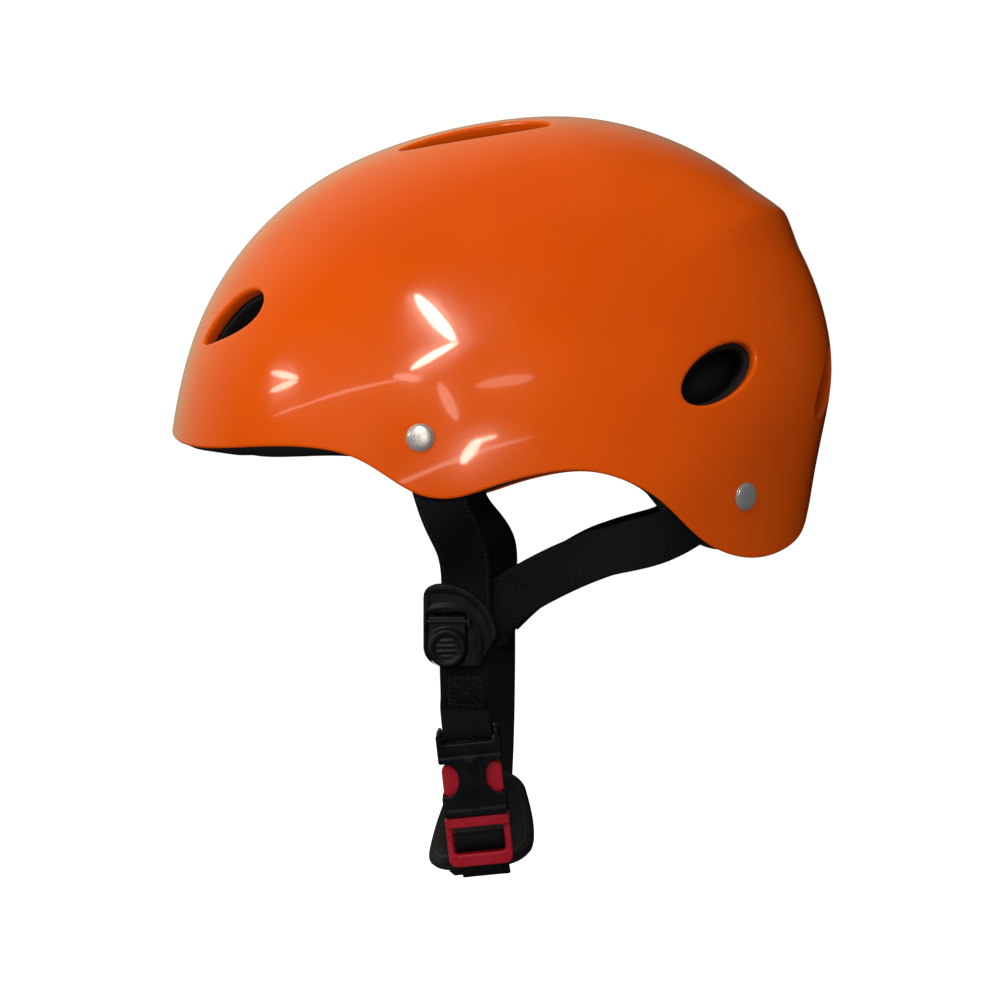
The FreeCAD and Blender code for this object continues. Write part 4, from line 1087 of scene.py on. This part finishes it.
def comfort_pad(name, turns, sides):
    """A pad against the liner, crossed by sewn channels."""
    depth = PAD_BACK + PAD_THICK / 2
    middle_turn, middle_side = sum(turns) / 2, sum(sides) / 2
    tall = np.linalg.norm(dome(turns[1], middle_side, depth) - dome(turns[0], middle_side, depth))
    wide = run_of([dome(middle_turn, side, depth) for side in np.linspace(*sides, 30)])[-1]
    a, b = (sides, turns) if wide > tall else (turns, sides)
    length, width = max(wide, tall), min(wide, tall)

    def place(u, v, z):
        first = a[0] + (a[1] - a[0]) * u / length
        second = (b[0] + b[1]) / 2 + (b[1] - b[0]) * v / width
        return dome(*((second, first) if wide > tall else (first, second)), depth + z)

    def channels(u, v):
        count = max(2, round(length / CHANNEL_GAP))
        wave = np.abs((u / length * count) % 1 - 0.5)
        cross = np.exp(-(((0.5 - wave) * length / count) / 1.5) ** 2)
        cross = cross * smooth(u, 6, 14) * smooth(u, length - 6, length - 14)
        return CHANNEL_DEPTH * cross * smooth(np.abs(v), width / 2 - 1, width / 2 - 5)

    def half_at(u):
        return width / 2

    soft_pad(name, "helmet", (place, length, half_at, PAD_THICK, 8.0, channels),
             (0.3, -1.2, 1.1), ((2.8, 2.95),), (150, 72))


chin_pad()
for name, spans in PADS.items():
    comfort_pad(name, *spans)


# ---------------------------------------------------------------- moulded plates

def arc(centre, radius, start, end, n=12):
    a = np.radians(np.linspace(start, end, n))
    return [(centre[0] + radius * math.cos(x), centre[1] + radius * math.sin(x)) for x in a]


def rounded(corners):
    """A polygon of (x, y, corner radius), with its corners turned into arcs."""
    made, n = [], len(corners)
    pts = np.array([c[:2] for c in corners], float)
    for i, corner in enumerate(corners):
        radius = corner[2] if len(corner) > 2 else 0.0
        p, a, b = pts[i], unit(pts[i - 1] - pts[i]), unit(pts[(i + 1) % n] - pts[i])
        if radius <= 0:
            made.append(tuple(p))
            continue
        angle = math.acos(np.clip(a @ b, -1, 1))
        reach = radius / math.tan(angle / 2)
        middle = p + unit(a + b) * radius / math.sin(angle / 2)
        first, last = p + a * reach - middle, p + b * reach - middle
        for t in np.linspace(0, 1, 7):
            made.append(tuple(middle + unit(first * (1 - t) + last * t) * radius))
    return np.array(made)


def ring_area(loop):
    x, y = loop.T
    return 0.5 * (x * np.roll(y, -1) - np.roll(x, -1) * y).sum()


def plate(shape, axes, outer, holes, low, high, edge=0.5, step=0.8, raised=None):
    """A moulded plate between two heights, with all its edges rounded. axes is its origin and its
    three directions in space, and raised(x, y, gap) adds to its upper face, gap from the edge."""
    origin, ex, ey, ez = (np.asarray(a, float) for a in axes)
    loops = []
    for k, loop in enumerate([outer, *holes]):
        loop = resample(loop, step)
        if (ring_area(loop) > 0) != (k == 0):
            loop = loop[::-1]
        loops.append(loop)
    inner = []
    for loop in loops:
        tangent = unit(np.roll(loop, -1, 0) - np.roll(loop, 1, 0))
        inward = np.stack([-tangent[:, 1], tangent[:, 0]], -1)
        for share in (0.12, 0.36, 0.68, 1.0):
            p = loop + inward * edge * share
            inner.append(p[clearance(p, loops) > edge * share * 0.93])
    grid = between(hexagonal(loops[0], step), loops, edge + step * 0.35)
    flat, faces = fill(loops, np.concatenate([*inner, grid]))
    border = sum(len(loop) for loop in loops)
    gap = clearance(flat, loops)
    gap[:border] = 0
    drop = edge - np.sqrt(np.clip(edge ** 2 - (edge - np.minimum(gap, edge)) ** 2, 0, None))
    extra = raised(flat[:, 0], flat[:, 1], gap) if raised else 0
    flip = np.linalg.det(np.stack([ex, ey, ez])) < 0

    def lay(z):
        return origin + flat[:, :1] * ex + flat[:, 1:2] * ey + np.broadcast_to(z, (len(flat),))[:, None] * ez

    top, bottom = shape.add(lay(high + extra - drop)), shape.add(lay(low + drop))
    shape.faces += [tuple(int(i) for i in (top[f[::-1]] if flip else top[f])) for f in faces]
    shape.faces += [tuple(int(i) for i in (bottom[f] if flip else bottom[f[::-1]])) for f in faces]
    first = 0
    for loop in loops:
        ids = slice(first, first + len(loop))
        first += len(loop)
        rows = (top[ids], bottom[ids]) if not flip else (bottom[ids], top[ids])
        shape.strip(rows[1], rows[0])


FAN, FAN_RADIUS, FAN_FRONT, FAN_LOW = (-9.0, 2.0), 22.5, -16.3, -8.5
LEVER_TOP, LEVER_LOW, LEVER_Y, LEVER_HALF = 9.5, -8.8, -6.8, 7.7
FAN_EDGE = (arc(FAN, FAN_RADIUS, 6, 98, 40)
            + [(-14.3, 23.4), (-15.5, 22.2), (-16.2, 20.4), (FAN_FRONT, 18.6), (FAN_FRONT, -0.5)]
            + arc((-8.3, -0.5), 8.0, 180, 270, 12) + [(6.0, FAN_LOW)])
FRONT_WALL = [(-12.3, 24.0), (-14.3, 23.4), (-15.5, 22.2), (-16.2, 20.4), (-16.3, 18.6), (-16.3, -0.5),
              (-15.6, -3.6), (-15.0, -5.2), (-12.3, 1.0)]


def lever_edge(margin=0.0, headroom=0.0):
    half, low = LEVER_HALF + margin, LEVER_LOW + LEVER_HALF
    top = LEVER_TOP + 2.2 + headroom
    return [(LEVER_Y + half, low), (LEVER_Y + half, top), (LEVER_Y - half, top), (LEVER_Y - half, low)] \
        + arc((LEVER_Y, low), half, 180, 360, 24)[1:-1]


def fan_relief(x, y, gap):
    """The rim that the straps bear on, and a spiral rib inside it."""
    dx, dy = x - FAN[0], y - FAN[1]
    radius, angle = np.hypot(dx, dy), np.degrees(np.arctan2(dy, dx))
    rim = 1.0 * smooth(radius, FAN_RADIUS - 3.2, FAN_RADIUS - 2.4)
    spiral = 15.6 - 2.6 * (angle + 10) / 110
    rib = 0.85 * np.exp(-((radius - spiral) / 0.95) ** 4) * smooth(angle, -32, -18) * smooth(angle, 118, 104)
    return rim + rib + 0.5 * smooth(x, FAN_FRONT + 2.6, FAN_FRONT + 1.8) * (1 - smooth(radius, 19, 20))


def lever_relief(x, y, gap):
    """A round, dished thumb pad with grip ribs; the rest of the lever is lower."""
    radius = np.hypot(x - LEVER_Y, y - LEVER_LOW - LEVER_HALF)
    shoulder = -1.7 * smooth(radius, 7.0, 8.6)
    dish = -0.7 * smooth(radius, 5.9, 4.6)
    ribs = 0.45 * np.clip(np.cos(2 * math.pi * (y + 8.8) / 2.1), 0, 1) ** 0.6 * smooth(radius, 4.6, 3.6)
    return shoulder + dish + ribs


def box_edge(x0, y0, x1, y1, r=0.5):
    return rounded([(x0, y0, r), (x1, y0, r), (x1, y1, r), (x0, y1, r)])


def adjuster(side):
    sign = SIDES[side]
    axes = ((sign * REACH, HANG[side], SWING_Z), (0, 1, 0), (0, 0, 1), (sign, 0, 0))
    body = Shape()
    plate(body, axes, FAN_EDGE, [lever_edge(0.4, 1.2)], 3.05, 4.9, 0.55, 0.75, fan_relief)
    plate(body, axes, FAN_EDGE, [], -4.9, -3.05, 0.55, 0.9)
    plate(body, axes, FRONT_WALL, [], -3.4, 3.4, 0.3, 0.7)
    for y in (LEVER_Y - LEVER_HALF - 1.05, LEVER_Y + LEVER_HALF + 1.05):
        ear = box_edge(y - 0.65, LEVER_TOP - 2.3, y + 0.65, LEVER_TOP + 2.3, 0.6)
        plate(body, axes, ear, [], 4.0, 7.3, 0.3, 0.4)
    body.make(f"adjuster_{side}_body", BLACK, "helmet", [f"adjuster_body_{side}"], "black_plastic")
    lever = Shape()
    plate(lever, axes, lever_edge(), [], 3.4, 7.7, 0.9, 0.6, lever_relief)
    lever.make(f"adjuster_{side}_lever", BLACK, f"lever_{side}", [f"adjuster_lever_{side}"], "black_plastic")


for side in SIDES:
    adjuster(side)

BUCKLE_AXES = (BUCKLE_AT, ACROSS, UP, OUT)
HALF, NOTCH = 13.0, (9.0, 22.5)


def notch_side(sign):
    """One side of the socket with its D-shaped window, from the mouth up."""
    low, high = NOTCH
    bow = [(9.4, low), (7.2, low + 1.6), (5.7, low + 4.0), (5.2, low + 6.75), (5.7, high - 4.0),
           (7.2, high - 1.6), (9.4, high)]
    return [(sign * x, y) for x, y in [(12.4, 0.15), (HALF, 0.8), (HALF, low - 0.5), (12.5, low)] + bow
            + [(12.5, high), (HALF, high + 0.5)]]


def socket_relief(x, y, gap):
    spine = 0.55 * np.exp(-(x / 2.2) ** 4) * smooth(y, 3.0, 6.0) * smooth(y, 25.0, 22.0)
    mouth = 0.45 * smooth(y, 3.4, 2.8)
    shoulder = -0.5 * np.exp(-((y - 25.6) / 0.7) ** 2)
    return spine + mouth + shoulder


def socket():
    arms = [(HALF, 34.0), (11.9, 35.9), (10.9, 36.0), (10.6, 35.6), (10.6, 31.2), (10.0, 30.6)]
    face = notch_side(1) + arms + [(-x, y) for x, y in arms[::-1]] + notch_side(-1)[::-1]
    shape = Shape()
    plate(shape, BUCKLE_AXES, face, [], 2.9, 4.75, 0.6, 0.7, socket_relief)
    flipped = (BUCKLE_AT, ACROSS, UP, -OUT)
    plate(shape, flipped, face, [], 2.9, 4.75, 0.6, 0.7, socket_relief)
    yoke = [(-HALF + 0.1, 25.0), (HALF - 0.1, 25.0)] + [(x - 0.1, y) for x, y in arms] \
        + [(-x + 0.1, y) for x, y in arms[::-1]]
    plate(shape, BUCKLE_AXES, yoke, [], -3.3, 3.3, 0.25, 0.8)
    plate(shape, BUCKLE_AXES, box_edge(-10.9, 32.4, 10.9, 36.0, 1.2), [], -2.1, 2.1, 1.0, 0.6)
    for x0, x1 in ((-12.95, -12.45), (12.45, 12.95)):
        for y0, y1 in ((0.3, NOTCH[0] - 0.1), (NOTCH[1] + 0.1, 25.4)):
            plate(shape, BUCKLE_AXES, box_edge(x0, y0, x1, y1, 0.2), [], -3.2, 3.2, 0.15, 0.5)
    shape.make("buckle_socket_black", BLACK, "chin_loop", ["buckle_socket"], "black_plastic")


def plug():
    shape = Shape()
    frame_edge = rounded([(-HALF, -3.4, 0.8), (HALF, -3.4, 0.8), (HALF, -21.5, 3.2), (-HALF, -21.5, 3.2)])
    window = rounded([(-10.4, -4.8, 1.6), (10.4, -4.8, 1.6), (10.4, -16.2, 1.6), (-10.4, -16.2, 1.6)])
    plate(shape, BUCKLE_AXES, frame_edge, [window], -2.6, 2.6, 0.9, 0.7)
    plate(shape, BUCKLE_AXES, box_edge(-HALF, -4.6, HALF, -0.15, 1.0), [], -4.2, 4.2, 0.8, 0.7)
    plate(shape, BUCKLE_AXES, box_edge(-10.9, -12.0, 10.9, -9.2, 0.4), [], -1.5, 1.5, 1.1, 0.5)
    tongue = rounded([(-3.1, -1, 0), (3.1, -1, 0), (3.1, 21, 1.0), (1.8, 23, 0.8), (-1.8, 23, 0.8),
                      (-3.1, 21, 1.0)])
    plate(shape, BUCKLE_AXES, tongue, [], -2.4, 2.4, 0.5, 0.8)
    shape.make("buckle_plug_red", RED, "plug", ["buckle_plug"], "red_plastic")


def prong(sign, name):
    edge = rounded([(7.4, -0.2, 0.1), (9.9, -0.2, 0.1), (9.9, 8.0, 1.0), (12.2, 9.4, 1.0), (12.2, 19.6, 2.0),
                    (10.4, 21.8, 1.0), (6.9, 21.8, 1.2), (5.1, 18.4, 1.5), (5.1, 9.8, 1.5), (7.4, 7.4, 1.0)])
    shape = Shape()
    plate(shape, BUCKLE_AXES, edge * (sign, 1), [], -2.4, 2.4, 0.7, 0.5)
    shape.make(f"{name}_red", RED, name.replace("buckle_", ""), [name], "red_plastic")


socket()
plug()
prong(-1, "buckle_prong_front")
prong(1, "buckle_prong_rear")


# ---------------------------------------------------------------- rivets and carried-over nodes

def rivet(where, side):
    """A domed head with a thin rolled flange, on its shank."""
    centre, out = rivet_frame(where, SIDES[side])
    first = unit(np.cross(out, (0, 0, 1)))
    second = np.cross(out, first)
    head = [(2.3, -7.4), (3.1, -7.3), (3.6, -6.9), (3.5, -6.6), (2.4, -6.4), (2.4, 0.02), (5.35, 0.02),
            (5.6, 0.12), (5.68, 0.34), (5.6, 0.56), (5.35, 0.70), (5.18, 0.78), (5.12, 0.85), (5.0, 1.12),
            (4.72, 1.36), (4.3, 1.52), (3.6, 1.66), (2.6, 1.79), (1.4, 1.87), (0.4, 1.9)]
    around = np.linspace(0, 2 * math.pi, 73)[:-1]
    shape = Shape()
    rows = [shape.add([centre + r * (first * math.cos(a) + second * math.sin(a)) + out * z for a in around])
            for r, z in head]
    shape.strips(rows[::-1])
    shape.face(rows[-1][::-1])
    shape.face(rows[0])
    shape.make(f"{where}_rivet_{side}_head", METAL, "helmet", [f"{where}_rivet_{side}"], "rivet", sharp=50)


for where in RIVETS:
    for side in SIDES:
        rivet(where, side)


def repaint(node, material):
    for item in frame["nodes"][node].material_slots:
        item.material = material


for side in SIDES:
    repaint(f"adjuster_pin_{side}", BLACK)
    for where in RIVETS:
        repaint(f"{where}_washer_{side}", METAL)
repaint("hook_patches", HOOK)
